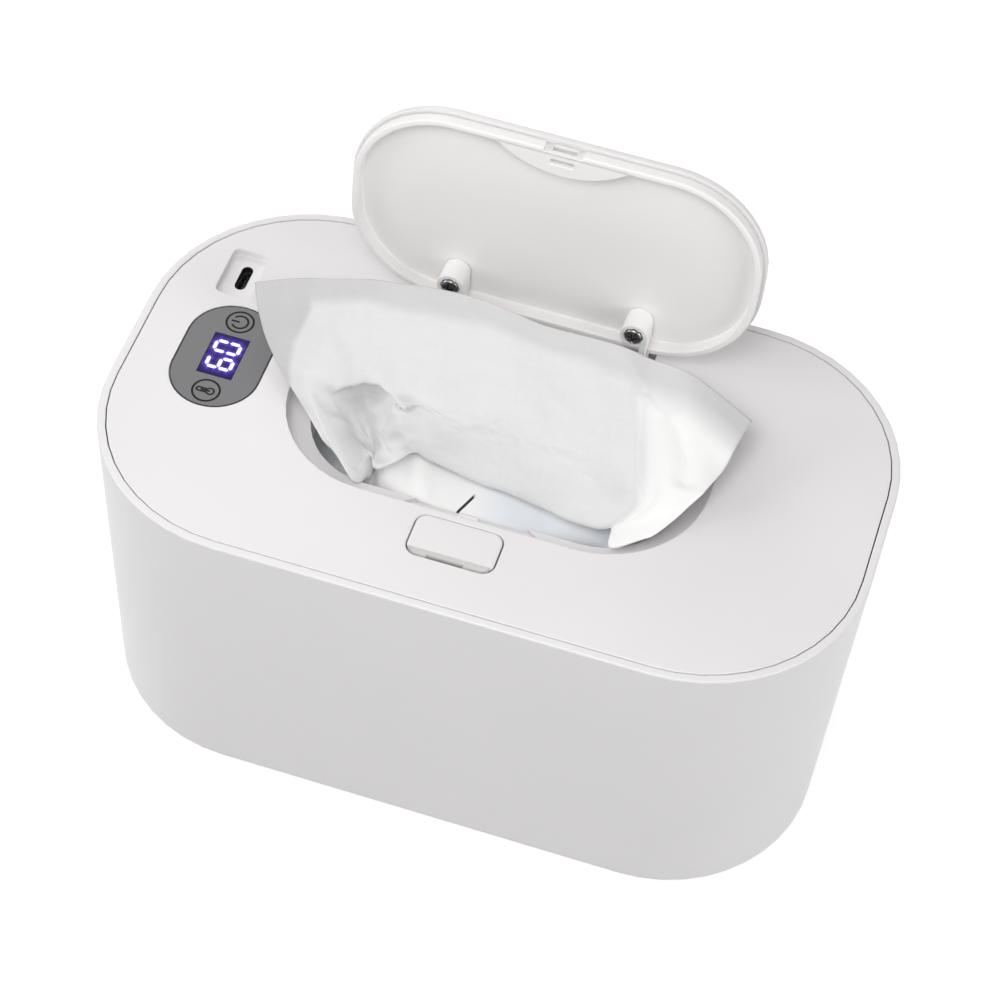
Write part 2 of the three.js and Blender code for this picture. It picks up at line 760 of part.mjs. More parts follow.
// Hinge arm: screw boss, web that passes in front of the bead, and the barrel round the pin
function armProfile() {
  const back = (s) => lidBackY - s; // distance from the lid's back edge, towards the front
  const bead = linerDepth + gap;
  const field = fieldDepth + gap;
  const beadFront = linerStep + beadWidth + gap;
  const shape = new THREE.Shape();
  shape.moveTo(hingeY, below(gap));
  shape.lineTo(back(-barrelRadius), below(gap));
  shape.lineTo(back(-2 * gap), below(bandDepth));
  shape.lineTo(back(-2 * gap), below(bead));
  shape.lineTo(back(beadFront), below(bead));
  shape.lineTo(back(beadFront), below(field));
  shape.lineTo(back(armBossSetback), below(field));
  shape.lineTo(back(armBossSetback), below(armBossDepth));
  shape.lineTo(back(beadFront), below(armBossDepth));
  shape.quadraticCurveTo(back(-barrelRadius), below(armBossDepth),
    hingeY - barrelRadius / 2, below(hingeDepth + barrelRadius));
  shape.absarc(hingeY, hingeZ, barrelRadius, -Math.PI / 2, Math.PI / 2);
  return shape;
}

function hingeArm(x) {
  const right = x + armBossRadius;
  const web = profileX(armProfile(), right - armThickness, right);
  const barrel = rodX(barrelRadius, right - barrelLength, right, hingeY, hingeZ);
  const boss = post(
    armBossRadius, x, armBossY, below(armBossDepth), below(fieldDepth + gap), 2 * roundSides);
  const headSeat = armBossDepth - screwHeadHeight + lidScrewHeadProud;
  return cut(joined(web, barrel, boss),
    rodX(pinRadius + gap, right - barrelLength - overrun, right + overrun, hingeY, hingeZ),
    post(pillarRadius + gap, x, armBossY, below(pillarDepth + gap), deckZ),
    post(screwHoleRadius, x, armBossY, below(armBossDepth + overrun), deckZ),
    post(lidScrewHeadRadius + gap, x, armBossY, below(armBossDepth + overrun), below(headSeat)));
}

function hingePin() {
  return new THREE.CylinderGeometry(pinRadius, pinRadius, pinLength, roundSides)
    .rotateZ(Math.PI / 2);
}

// Latch: button, slide with the nose, retainer
const buttonBack = buttonY + buttonWidth / 2;
const buttonFront = buttonY - buttonWidth / 2;
const lipFrontY = lidFrontY + linerStep + catchNotchDepth;
const noseY = lipFrontY + noseReach;
const blockBack = buttonBack - buttonWall / 2;
const blockFront = buttonFront + buttonWall + latchTravel + slideGap;
const rampY = blockFront + (blockBack - blockFront) * rampShare;

// A bar at 45 degrees, so that the slide moves back as far as the button goes down
function rampBar(halfWidth, thickness, top, bottom) {
  const middle = slideDepth + slideBlock / 2;
  const shape = new THREE.Shape();
  const at = (depth) => rampY + depth - middle;
  shape.moveTo(at(top) - thickness / 2, below(top));
  shape.lineTo(at(bottom) - thickness / 2, below(bottom));
  shape.lineTo(at(bottom) + thickness / 2, below(bottom));
  shape.lineTo(at(top) + thickness / 2, below(top));
  return profileX(shape, -halfWidth, halfWidth);
}

function latchButton() {
  const cap = roundedPrism(
    buttonOutline, below(buttonSkirt), deckZ + buttonProud, { top: buttonRound });
  const flangeTop = deckThickness + gap;
  const flange = cut(
    prism(
      grown(buttonOutline, buttonFlange), below(flangeTop + flangeThickness), below(flangeTop)),
    block(-buttonLength, buttonLength, buttonBack, buttonBack + 2 * buttonFlange,
      below(buttonSkirt), deckZ));
  const ceiling = buttonTop - buttonProud;
  const hollow = prism(
    grown(buttonOutline, -buttonWall), below(buttonSkirt + overrun), below(ceiling));
  const archHalf = slideWidth / 2 + slideGap;
  const archway = block(-archHalf, archHalf, buttonY, buttonBack + overrun,
    below(buttonSkirt + overrun), below(ceiling));
  const bar = rampBar(
    rampWidth / 2, rampThickness, ceiling - buttonProud, slideDepth + slideBlock - slideGap);
  return joined(cut(joined(cap, flange), hollow, archway), bar);
}

function latchSlide() {
  const half = slideWidth / 2;
  const base = block(-half, half, blockFront, blockBack,
    below(slideDepth + slideBlock), below(slideDepth));
  const tongue = block(-half, half, blockBack - overrun, seatFrontY + lidGap / 2,
    below(slideDepth + tongueThickness), below(slideDepth));
  const nose = new THREE.Shape();
  nose.moveTo(seatFrontY - overrun, below(slideDepth));
  nose.lineTo(seatFrontY - overrun, below(slideDepth + tongueThickness));
  nose.lineTo(noseY, below(slideDepth + tongueThickness));
  nose.lineTo(noseY, below(slideDepth + tongueThickness - noseTip));
  nose.lineTo(noseY - tongueThickness + noseTip, below(slideDepth));
  const window = rampBar(rampWidth / 2 + slideGap, rampThickness + 2 * slideGap,
    slideDepth - overrun, slideDepth + slideBlock + overrun);
  return cut(joined(base, tongue, profileX(nose, -noseWidth / 2, noseWidth / 2)), window);
}

function latchRetainer() {
  const bottom = below(retainerDepth + retainerThickness);
  const front = buttonFront - buttonFlange - moulding;
  const plate = block(-retainerHalfLength, retainerHalfLength, front, buttonBack,
    bottom, below(retainerDepth));
  const railTop = below(slideDepth + slideBlock + gap);
  const railX = (slideWidth / 2 + rampWidth / 2 + slideGap) / 2;
  const rails = [-railX, railX].map((x) => block(x - railThickness / 2, x + railThickness / 2,
    blockFront - latchTravel, blockBack, below(retainerDepth + retainerThickness / 2), railTop));
  const holes = latchScrewPlaces.map(([x, y]) => (
    post(screwHoleRadius, x, y, bottom - overrun, below(retainerDepth) + overrun)));
  return cut(joined(plate, ...rails), ...holes);
}

// Packet of wipes: a pillow of film with a slit on its crown
const packetZ = footProud + floorThickness + gap;

function wipePacket() {
  const base = outline(packetLength, packetWidth, packetCorner, 0, 0, 2 * smallCorner);
  const sideShares = [0, 0.06, 0.16, 0.4, 0.7, 0.88, 0.96];
  const bulgeShares = [0.1, 0.55, 0.85, 1, 0.8, 0.35, -0.2];
  const side = sideShares.map((share, i) => (
    ring(base, packetZ + share * (packetHeight - packetCrown), packetBulge * (1 - bulgeShares[i]))));
  const crownShares = [0.3, 0.6, 0.82, 0.95, 1];
  const crown = crownShares.map((share, i) => ring(base,
    packetZ + packetHeight - packetCrown * (1 - share),
    packetBulge + (packetCorner - packetBulge) * (i + 1) / crownShares.length));
  const slit = prism(outline(slitLength, slitWidth, slitWidth / 2, slitX, slitY),
    packetZ + packetHeight - slitDepth, packetZ + packetHeight + overrun);
  return cut(loft([...side, ...crown]), slit);
}

// The wipe: rows across it from the slit to its free edge, as shares of the half span, of the
// reach to the back, and of the rise (above the deck) or the drop (below it)
const wipeDrop = deckZ - packetZ - packetHeight + slitDepth - gap - wipeThickness / 2;
const wipeRowShares = [
  [[-0.22, -0.2, -1], [-0.16, -0.3, -1], [-0.08, -0.14, -1], [0, -0.26, -1],
    [0.08, -0.1, -1], [0.17, -0.26, -1], [0.25, -0.14, -1], [0.32, -0.26, -1]],
  [[-0.49, -0.84, -0.3], [-0.43, -0.96, -0.3], [-0.34, -0.7, -0.26], [-0.17, -0.45, -0.4],
    [0.03, -0.45, -0.44], [0.23, -0.7, -0.38], [0.4, -0.95, -0.3], [0.52, -1.02, -0.26]],
  [[-0.79, -0.5, 0.12], [-0.66, -0.6, 0.26], [-0.47, -0.45, 0.34], [-0.2, -0.5, 0.18],
    [0.06, -0.45, 0.15], [0.29, -0.6, 0.18], [0.51, -0.75, 0.15], [0.72, -0.78, 0.08]],
  [[-0.95, 0.15, 0.17], [-0.74, 0.1, 0.4], [-0.51, 0.1, 0.6], [-0.23, 0.15, 0.6],
    [0.06, 0.1, 0.55], [0.31, 0.05, 0.52], [0.6, 0, 0.48], [0.8, 0, 0.23]],
  [[-1.1, 1, 0.26], [-0.83, 1, 0.55], [-0.54, 0.9, 0.88], [-0.21, 0.85, 1],
    [0.14, 0.8, 0.89], [0.43, 0.8, 0.83], [0.67, 0.75, 0.66], [0.9, 0.95, 0.31]],
];

function wipePoint(u, v) {
  const halfSpan = openingOutline.length * wipeSpanShare;
  const reach = openingOutline.width * wipeReachShare;
  const rows = wipeRowShares.map((row) => {
    const places = row.map(([x, y, z]) => new THREE.Vector3(
      x * halfSpan, y * reach, deckZ + z * (z < 0 ? wipeDrop : wipeRise)));
    return new THREE.CatmullRomCurve3(places).getPoint(u);
  });
  return new THREE.CatmullRomCurve3(rows).getPoint(v);
}

function wipeSheet() {
  const grid = [];
  for (let j = 0; j <= wipeRows; j += 1) {
    for (let i = 0; i <= wipeColumns; i += 1) {
      const u = i / wipeColumns;
      const v = j / wipeRows;
      const point = wipePoint(u, v);
      const fold = Math.sin(u * wipeRippleCount * Math.PI) * Math.sin(v * Math.PI) * wipeRipple;
      grid.push(point.add(new THREE.Vector3(0, fold, -fold / 2)));
    }
  }
  const columns = wipeColumns + 1;
  const clamp = THREE.MathUtils.clamp;
  const at = (i, j) => grid[clamp(j, 0, wipeRows) * columns + clamp(i, 0, wipeColumns)];
  const faces = [];
  const front = [];
  const back = [];
  for (let j = 0; j <= wipeRows; j += 1) {
    for (let i = 0; i <= wipeColumns; i += 1) {
      const across = at(i + 1, j).clone().sub(at(i - 1, j));
      const along = at(i, j + 1).clone().sub(at(i, j - 1));
      const normal = across.cross(along).normalize().multiplyScalar(wipeThickness / 2);
      front.push(...at(i, j).clone().add(normal).toArray());
      back.push(...at(i, j).clone().sub(normal).toArray());
    }
  }
  const under = grid.length;
  for (let j = 0; j < wipeRows; j += 1) {
    for (let i = 0; i < wipeColumns; i += 1) {
      const a = j * columns + i;
      faces.push(a, a + 1, a + 1 + columns, a, a + 1 + columns, a + columns);
      faces.push(under + a, under + a + 1 + columns, under + a + 1);
      faces.push(under + a, under + a + columns, under + a + 1 + columns);
    }
  }
  const rim = [];
  for (let i = 0; i < wipeColumns; i += 1) rim.push(i);
  for (let j = 0; j < wipeRows; j += 1) rim.push(j * columns + wipeColumns);
  for (let i = wipeColumns; i > 0; i -= 1) rim.push(wipeRows * columns + i);
  for (let j = wipeRows; j > 0; j -= 1) rim.push(j * columns);
  rim.forEach((a, k) => {
    const b = rim[(k + 1) % rim.length];
    faces.push(a, under + a, under + b, a, under + b, b);
  });
  const geometry = new THREE.BufferGeometry();
  geometry.setAttribute('position', new THREE.Float32BufferAttribute([...front, ...back], 3));
  geometry.setIndex(faces);
  return geometry;
}

// Assembly
const warmer = new THREE.Group();
const topCover = new THREE.Group();
const lid = new THREE.Group();
const lidParts = new THREE.Group();
warmer.add(topCover);
topCover.add(lid);
lid.add(lidParts);
lid.position.set(0, hingeY, hingeZ);
lid.rotation.x = -openAngle;
lidParts.position.set(0, -hingeY, -hingeZ);

function place(parent, name, form, material, position = [0, 0, 0]) {
  let geometry = form;
  if (!(form instanceof THREE.BufferGeometry)) {
    const mesh = form.getMesh();
    geometry = new THREE.BufferGeometry();
    geometry.setAttribute('position', new THREE.BufferAttribute(mesh.vertProperties, 3));
    geometry.setIndex(new THREE.BufferAttribute(mesh.triVerts, 1));
  }
  const piece = new THREE.Mesh(geometry, material);
  piece.name = name;
  piece.position.set(...position);
  parent.add(piece);
  return piece;
}

place(warmer, 'tub_shell', tubShell(), whitePlastic);
footPlaces().forEach(([x, y], i) => place(warmer, `foot_${i + 1}`, foot(), rubber, [x, y, 0]));
place(warmer, 'wipe_packet', wipePacket(), packetFilm);

place(topCover, 'deck_panel', deckPanel(), whitePlastic);
place(topCover, 'inner_tray', innerTray(), linerPlastic);
place(topCover, 'cover_seal', coverSeal(), silicone);
place(topCover, 'throat_gasket', throatGasket(), silicone);
place(topCover, 'heat_plate', heaterLayer(plateZ, heatPlateThickness), aluminium);
place(topCover, 'heater_film', heaterLayer(filmZ, heaterFilmThickness), polyimide);
place(topCover, 'thermal_fuse', thermalFuse(), blackPlastic);
place(topCover, 'temperature_sensor', temperatureSensor(), blackPlastic);
place(topCover, 'control_membrane', controlMembrane(), greyFilm);
place(topCover, 'display_window', displayWindow(), displayGlass);
place(topCover, 'display_module', displayModule(), displayBody);
place(topCover, 'control_board', controlBoard(), boardGreen);
place(topCover, 'usb_shell', usbShell(), steel);
place(topCover, 'usb_tongue', usbTongue(), blackPlastic);
place(topCover, 'wipe_sheet', wipeSheet(), cloth);

const leads = [
  lead(0, filmLeadInset, filmLeadY),
  lead(1, fuseInset, fuseY + fuseLength / 2 + gap),
  lead(2, sensorInset, sensorY + sensorLength / 2 + sensorRadius + gap),
];
leads.forEach((form, i) => {
  place(topCover, `lead_${i + 1}`, form, i === 1 ? redLead : blackLead);
});
[controlY + backKeyReach, controlY - frontKeyReach].forEach((y, i) => {
  const length = boardDepth - deckThickness - 2 * gap;
  place(topCover, `touch_spring_${i + 1}`,
    spring(touchSpringRadius, touchSpringWire / 2, length, touchSpringTurns),
    springSteel, [controlX, y, below(boardDepth - gap)]);
});
boardScrewPlaces.forEach(([x, y], i) => {
  place(topCover, `board_screw_${i + 1}`, screw(screwHeadRadius, boardScrewLength),
    steel, [x, y, below(boardDepth + boardThickness + gap)]);
});
coverScrewPlaces.forEach(([x, y], i) => {
  place(topCover, `cover_screw_${i + 1}`, screw(screwHeadRadius, coverScrewLength),
    steel, [x, y, below(trayDepth + gap)]);
});

place(topCover, 'latch_button', latchButton(), whitePlastic);
place(topCover, 'latch_slide', latchSlide(), linerPlastic);
place(topCover, 'latch_retainer', latchRetainer(), linerPlastic);
[-latchSpringX, latchSpringX].forEach((x, i) => {
  const length = retainerDepth - (buttonTop - buttonProud) - 2 * gap;
  place(topCover, `latch_spring_${i + 1}`,
    spring(latchSpringRadius, latchSpringWire / 2, length, latchSpringTurns),
    springSteel, [x, buttonY, below(retainerDepth - gap)]);
});
latchScrewPlaces.forEach(([x, y], i) => {
  place(topCover, `latch_screw_${i + 1}`, screw(screwHeadRadius, latchScrewLength),
    steel, [x, y, below(retainerDepth + retainerThickness + gap)]);
});

place(lidParts, 'lid_cover', lidCover(), whitePlastic);
place(lidParts, 'lid_liner', lidLiner(), linerPlastic);
[[-armX, 'left'], [armX, 'right']].forEach(([x, side]) => {
  place(topCover, `hinge_pin_${side}`, hingePin(), steel, [pinCentreX(x), hingeY, hingeZ]);
  place(lidParts, `hinge_arm_${side}`, hingeArm(x), linerPlastic);
  const headTop = armBossDepth - screwHeadHeight + lidScrewHeadProud + gap;
  place(lidParts, `lid_screw_${side}`, screw(lidScrewHeadRadius, headTop - fieldDepth - gap),
    steel, [x, armBossY, below(headTop)]);
  const coil = spring(hingeSpringRadius, hingeSpringWire / 2,
    hingeSpringPitch * hingeSpringTurns + hingeSpringWire, hingeSpringTurns);
  place(lidParts, `hinge_spring_${side}`, coil.rotate([0, -90, 0]), springSteel,
    [x + armBossRadius - barrelLength - gap / 2, hingeY, hingeZ]);
});

export default warmer;
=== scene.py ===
"""Looks of a baby wipe warmer: a white tub with a lift-off cover, its sprung lid held open, a touch
control, and a wipe pulled up through the opening. Metres, +Z up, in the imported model's frame."""
import math

import bmesh
import bpy
import numpy as np
from bpy.props import FloatProperty, FloatVectorProperty, IntProperty, PointerProperty
from mathutils import Matrix, Vector
from mathutils.geometry import tessellate_polygon


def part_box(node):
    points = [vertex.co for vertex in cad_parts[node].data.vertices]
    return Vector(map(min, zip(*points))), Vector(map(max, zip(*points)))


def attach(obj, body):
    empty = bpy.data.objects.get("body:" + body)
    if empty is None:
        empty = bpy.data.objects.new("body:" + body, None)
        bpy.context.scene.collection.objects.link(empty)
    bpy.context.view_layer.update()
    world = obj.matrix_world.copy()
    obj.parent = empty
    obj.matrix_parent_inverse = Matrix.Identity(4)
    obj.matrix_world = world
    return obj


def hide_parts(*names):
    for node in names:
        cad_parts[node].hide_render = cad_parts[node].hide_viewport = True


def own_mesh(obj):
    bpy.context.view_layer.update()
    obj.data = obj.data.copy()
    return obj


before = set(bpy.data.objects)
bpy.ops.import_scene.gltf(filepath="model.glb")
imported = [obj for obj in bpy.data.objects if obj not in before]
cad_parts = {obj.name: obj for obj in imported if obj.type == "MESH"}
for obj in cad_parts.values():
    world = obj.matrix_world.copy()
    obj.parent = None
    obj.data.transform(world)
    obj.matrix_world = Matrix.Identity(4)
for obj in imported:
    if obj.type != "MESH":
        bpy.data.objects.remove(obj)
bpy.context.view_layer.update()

bl_info = {
    "name": "Baby Wipe Warmer",
    "version": (1, 0, 0),
    "blender": (4, 5, 0),
    "location": "View3D > Sidebar > Wipe Warmer",
    "description": "Builds the pieces, finishes and stage of a baby wipe warmer",
    "category": "Object",
}

MM = 0.001
CORNER_STEPS = 11  # steps round a corner seen from above
DECK_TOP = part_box("deck_panel")[1].z
TRIM = 0.05 * MM  # how far thin marks stand over what carries them
SPARE = 2 * MM  # how far a profile runs on over a flat face
HOLD = 0.25 * MM  # from an arc to the place that keeps the face beside it flat
MATERIALS = {}  # each finish by its name
EFFECTS = {}  # each node group by the function that fills it


# Properties

def length(name, millimetres, description):
    return FloatProperty(
        name=name, description=description, default=millimetres * MM,
        subtype="DISTANCE", unit="LENGTH", precision=5)


def angle(name, degrees, description):
    return FloatProperty(
        name=name, description=description, default=math.radians(degrees),
        subtype="ANGLE", unit="ROTATION")


def colour(name, value, description):
    return FloatVectorProperty(
        name=name, description=description, default=value, subtype="COLOR", size=3, min=0, max=1)


def amount(name, value, description):
    return FloatProperty(
        name=name, description=description, default=value, min=0, max=1000, precision=4)


def whole(name, value, description):
    return IntProperty(name=name, description=description, default=value, min=2)


class TubSizes(bpy.types.PropertyGroup):
    """Sizes of the tub and its feet"""
    length: length("Length", 210, "Along X at the rim")
    width: length("Width", 123.1, "Along Y at the rim")
    corner: length("Corner", 46.7, "Radius of the corners seen from above")
    height: length("Height", 101.5, "From the base to the rim")
    draft: length("Draft", 3.06, "How far each side leans in between rim and base")
    base_round: length("Base round", 3.2, "Radius where the sides meet the base")
    wall: length("Wall", 3.2, "Thickness of the sides")
    floor: length("Floor", 2.6, "Thickness of the base")
    rim_width: length("Rim width", 2.25, "Of the rim that shows round the cover")
    rim_round: length("Rim round", 0.6, "Radius of the rim's outer edge")
    shelf_depth: length("Shelf depth", 13.1, "From the rim down to the shelf")
    foot_radius: length("Foot radius", 7, "Of a rubber foot")
    foot_height: length("Foot height", 0.78, "Of a rubber foot under the base")
    foot_x: length("Foot X", 62, "From the middle to a foot")
    foot_y: length("Foot Y", 34, "From the middle to a foot")


class CoverSizes(bpy.types.PropertyGroup):
    """Sizes of the top cover's face"""
    edge_round: length("Edge round", 0.3, "Radius of the edges of the face")
    fine_round: length("Fine round", 0.06, "Radius of the edge round the touch control")
    edge_steps: whole("Edge steps", 4, "Steps across an edge")


class ButtonSizes(bpy.types.PropertyGroup):
    """Sizes of the latch button: depths run down from the cover's face"""
    length: length("Length", 23.4, "Along X")
    width: length("Width", 13.1, "Along Y")
    corner: length("Corner", 3.2, "Radius of the corners")
    y: length("Y", -39, "Middle of the button")
    proud: length("Proud", 0.5, "Over the face of the cover")
    edge_round: length("Edge round", 0.7, "Radius of the upper edge")
    skirt: length("Skirt", 1.6, "Depth of the cap's lower edge")
    wall: length("Wall", 1.3, "Thickness of the cap's side")
    ceiling: length("Ceiling", 1.1, "Depth of the hollow's ceiling")
    press: length("Press", 1.2, "How far the button goes down")
    bevel_width: length("Bevel width", 1.9, "Of the slope along the front")
    bevel_drop: length("Bevel drop", 1.0, "Of the slope along the front")
    grip_left: length("Grip left", -5.7, "Left end of the recess in the front")
    grip_right: length("Grip right", 4.0, "Right end of the recess in the front")
    grip_depth: length("Grip depth", 0.55, "Of the recess in the front")
    ramp_y: length("Ramp Y", -38.35, "Middle of the ramp that pushes the latch slide")
    ramp_width: length("Ramp width", 4, "Of the ramp along X")
    ramp_thickness: length("Ramp thickness", 2.6, "Of the ramp along Y")
    ramp_middle: length("Ramp middle", 4.4, "Depth of the ramp's middle")
    ramp_depth: length("Ramp depth", 5.5, "Depth of the ramp's lower end")


class InletSizes(bpy.types.PropertyGroup):
    """Sizes of the sleeve in the power inlet's slot"""
    x: length("X", -83.8, "Middle of the slot")
    y: length("Y", 30.65, "Middle of the slot")
    width: length("Width", 3.16, "Along X")
    length: length("Length", 8.96, "Along Y")
    wall: length("Wall", 0.16, "Of the sleeve")
    depth: length("Depth", 2, "Of the pocket round the slot")
    floor: length("Floor", 2, "Thickness of the pocket's floor")


class LidSizes(bpy.types.PropertyGroup):
    """Sizes of the lid, measured closed: depths run down from its outer face"""
    length: length("Length", 114.2, "Along X")
    width: length("Width", 63.6, "Along Y")
    corner: length("Corner", 27.6, "Radius of the corners seen from above")
    centre_y: length("Centre Y", 2.55, "Middle of the lid")
    hinge_y: length("Hinge Y", 39.95, "Of the pin")
    hinge_drop: length("Hinge drop", 2.8, "From the outer face down to the pin")
    open_angle: angle("Open angle", 94, "Of the lid at rest")
    plate: length("Plate", 0.9, "Thickness of the outer plate")
    band_depth: length("Band depth", 2.2, "Of the outer band")
    band_width: length("Band width", 1.4, "Of the outer band")
    band_round: length("Band round", 0.25, "Radius of the band's lower edge")
    edge_round: length("Edge round", 0.8, "Radius of the outer edge")
    gap: length("Gap", 0.3, "Between the cover and the liner")
    field_depth: length("Field depth", 2.0, "Of the liner's flat field")
    bead_depth: length("Bead depth", 5.6, "Of the liner's raised bead")
    bead_width: length("Bead width", 2.0, "Of the liner's raised bead")
    bead_step: length("Bead step", 0.9, "From the lid's edge to the bead")
    step_round: length("Step round", 0.2, "Radius where the step meets the bead")
    bead_round: length("Bead round", 0.6, "Radius of the bead's edges")
    field_round: length("Field round", 0.5, "Radius where the field meets the bead")
    pad_half_chord: length("Pad half chord", 17.6, "Half the width of the catch pad")
    pad_sagitta: length("Pad sagitta", 6.3, "How far the catch pad reaches back")
    pad_depth: length("Pad depth", 5.62, "Of the catch pad's face")
    pad_round: length("Pad round", 0.3, "Radius of the catch pad's edges and of its slot's corners")
    pocket_depth: length("Pocket depth", 4.35, "Of the face over which the latch's nose hooks")
    slot_length: length("Slot length", 6.4, "Of the catch slot")
    slot_width: length("Slot width", 1.5, "Of the catch slot")
    lip: length("Lip", 1.8, "Between the notch and the catch slot")
    notch_length: length("Notch length", 10.5, "In the lid's front edge")
    notch_depth: length("Notch depth", 1.4, "In the lid's front edge")
    arm_x: length("Arm X", 25.85, "From the middle to a hinge arm's screw")
    boss_setback: length("Boss setback", 9.7, "From the lid's back edge to a screw")
    screw_radius: length("Screw radius", 2.5, "Of a screw head")
    screw_low: length("Screw seat", 9.2, "Depth at which a screw head starts")
    screw_high: length("Screw crown", 10.5, "Depth of a screw head's crown")
    recess_half: length("Recess half", 0.42, "Half the width of the cross in a screw head")
    recess_reach: length("Recess reach", 1.45, "From the middle to the end of the cross")
    recess_depth: length("Recess depth", 0.75, "Of the cross")


class ControlSizes(bpy.types.PropertyGroup):
    """Sizes of the touch control and its display"""
    x: length("X", -78.4, "Middle of the touch control")
    y: length("Y", 0.55, "Middle of the touch control")
    length: length("Length", 36.9, "Along Y")
    width: length("Width", 24.7, "Along X")
    sink: length("Sink", 0.05, "From the cover's face down to the control")
    thickness: length("Thickness", 0.45, "Of the film")
    # Painted shadow: the dark line drawn round the film's edge stands in for the shade in the seam
    border: length("Border", 0.22, "Width of the dark line round the film")
    seam: length("Seam", 0.12, "More gap round the film, which shows as a dark line")
    window_width: length("Window width", 10, "Along X")
    window_length: length("Window length", 15, "Along Y")
    window_gap: length("Window gap", 0.2, "Round the glass, on both sides together")
    front_digit: length("Front digit", -2.75, "From the middle of the window to the front digit")
    back_digit: length("Back digit", 3.05, "From the middle of the window to the back digit")
    digit_height: length("Digit height", 7.8, "Of a digit")
    digit_width: length("Digit width", 4.6, "Of a digit")
    digit_bar: length("Digit bar", 1.05, "Width of one bar of a digit")
    digit_gap: length("Digit gap", 0.2, "From a bar's point to the middle of the next bar")
    glow_reach: length("Glow reach", 0.75, "How far the light spreads from a digit")
    ring_radius: length("Ring radius", 3.7, "Of the ring round a key's symbol")
    line: length("Line", 0.57, "Width of a symbol's lines")
    back_key_y: length("Back key Y", 13.4, "Middle of the power key")
    front_key_y: length("Front key Y", -12.5, "Middle of the heat key")
    stem: length("Stem", 0.6, "Half the width of the heat symbol's stem")
    stem_x: length("Stem X", -2.1, "From the key's middle to the stem's end")
    bulb: length("Bulb", 1.05, "Radius of the heat symbol's bulb")
    bulb_x: length("Bulb X", 1.15, "From the key's middle to the bulb")


class PacketSizes(bpy.types.PropertyGroup):
    """Sizes of the packet of wipes"""
    length: length("Length", 172, "Along X")
    width: length("Width", 94, "Along Y")
    corner: length("Corner", 26, "Radius of the corners seen from above")
    base: length("Base", 3.7, "Height of its underside")
    height: length("Height", 74, "From its underside to its crown")
    crown: length("Crown", 9, "Rise of its upper film")
    bulge: length("Bulge", 5, "How far its sides swell")
    slit_length: length("Slit length", 40, "Of the opening in the film")
    slit_width: length("Slit width", 6, "Of the opening in the film")
    slit_x: length("Slit X", 4, "Middle of the opening")
    slit_y: length("Slit Y", 3, "Middle of the opening")
    slit_inset: length("Slit inset", 0.15, "How far the opening's inside stands in")
    slit_depth: length("Slit depth", 1.1, "Of the opening's inside")
    crinkle: length("Crinkle", 0.7, "Height of the film's creases")
    sag: length("Sag", 0.4, "How far the crown sinks between its edges")


class WipeSizes(bpy.types.PropertyGroup):
    """Sizes of the wipe that is pulled up"""
    thickness: length("Thickness", 0.3, "Of the cloth")
    fold: length("Fold", 0.45, "Height of the soft folds")
    crumple: length("Crumple", 0.3, "Height of the creases in the gather at the left")
    crease: length("Crease", 0.18, "Height of the fine creases in the middle")
    # Painted shadow: a black line on the wipe's shelf that stands in for the shade in a narrow gap
    dark_edge: length("Dark edge", 0.5, "Width of the short dark line on the shelf")
    flat_width: length("Flat width", 140, "Of the part that is pulled out, laid flat")
    flat_length: length("Flat length", 70, "Of the part that is pulled out, laid flat")
    columns: whole("Columns", 270, "Steps across the wipe")
    rows: whole("Rows", 180, "Steps up the wipe")


class FinishValues(bpy.types.PropertyGroup):
    """Colours of the finishes"""
    shell: colour("Shell", (0.770, 0.755, 0.760), "Outer white plastic")
    inner: colour("Inner", (0.850, 0.836, 0.828), "Inner white plastic")
    silicone: colour("Silicone", (0.60, 0.60, 0.60), "Seals")
    rubber: colour("Rubber", (0.045, 0.045, 0.048), "Feet")
    film: colour("Film", (0.140, 0.140, 0.145), "Touch control")
    display: colour("Display", (0.030, 0.006, 0.25), "Display when lit")
    digit: colour("Digit", (0.72, 0.60, 1.0), "Digits when lit")
    print: colour("Print", (0.012, 0.012, 0.013), "Symbols on the touch control")
    black: colour("Black plastic", (0.010, 0.010, 0.011), "Small black parts")
    steel: colour("Steel", (0.62, 0.63, 0.64), "Screws and pins")
    # Painted reflection: a darker copy of the steel for the lid screws' heads, standing in for the
    # dark reflections in their chrome
    chrome: colour("Dark chrome", (0.20, 0.20, 0.205), "Heads of the lid's screws")
    spring: colour("Spring steel", (0.36, 0.37, 0.39), "Springs")
    aluminium: colour("Aluminium", (0.60, 0.61, 0.62), "Heat plate")
    polyimide: colour("Polyimide", (0.46, 0.16, 0.014), "Heater film")
    board: colour("Board", (0.012, 0.10, 0.040), "Circuit board")
    red: colour("Red lead", (0.42, 0.016, 0.012), "Red lead")
    cloth: colour("Cloth", (0.70, 0.695, 0.70), "The wipe")
    # Painted light: a lighter tone of the same cloth where it should look lit, on the right flap and
    # under the turn
    double: colour("Double cloth", (0.85, 0.845, 0.84), "The wipe where it lies double")
    damp: colour("Damp cloth", (0.765, 0.79, 0.82), "The wipe where it is wettest")
    # Painted shade: a greyer tone for the slope along the button's front, where shade falls
    grip: colour("Grip", (0.44, 0.425, 0.42), "Grip along the button's front")
    packet: colour("Packet", (0.86, 0.89, 0.91), "The packet's film")


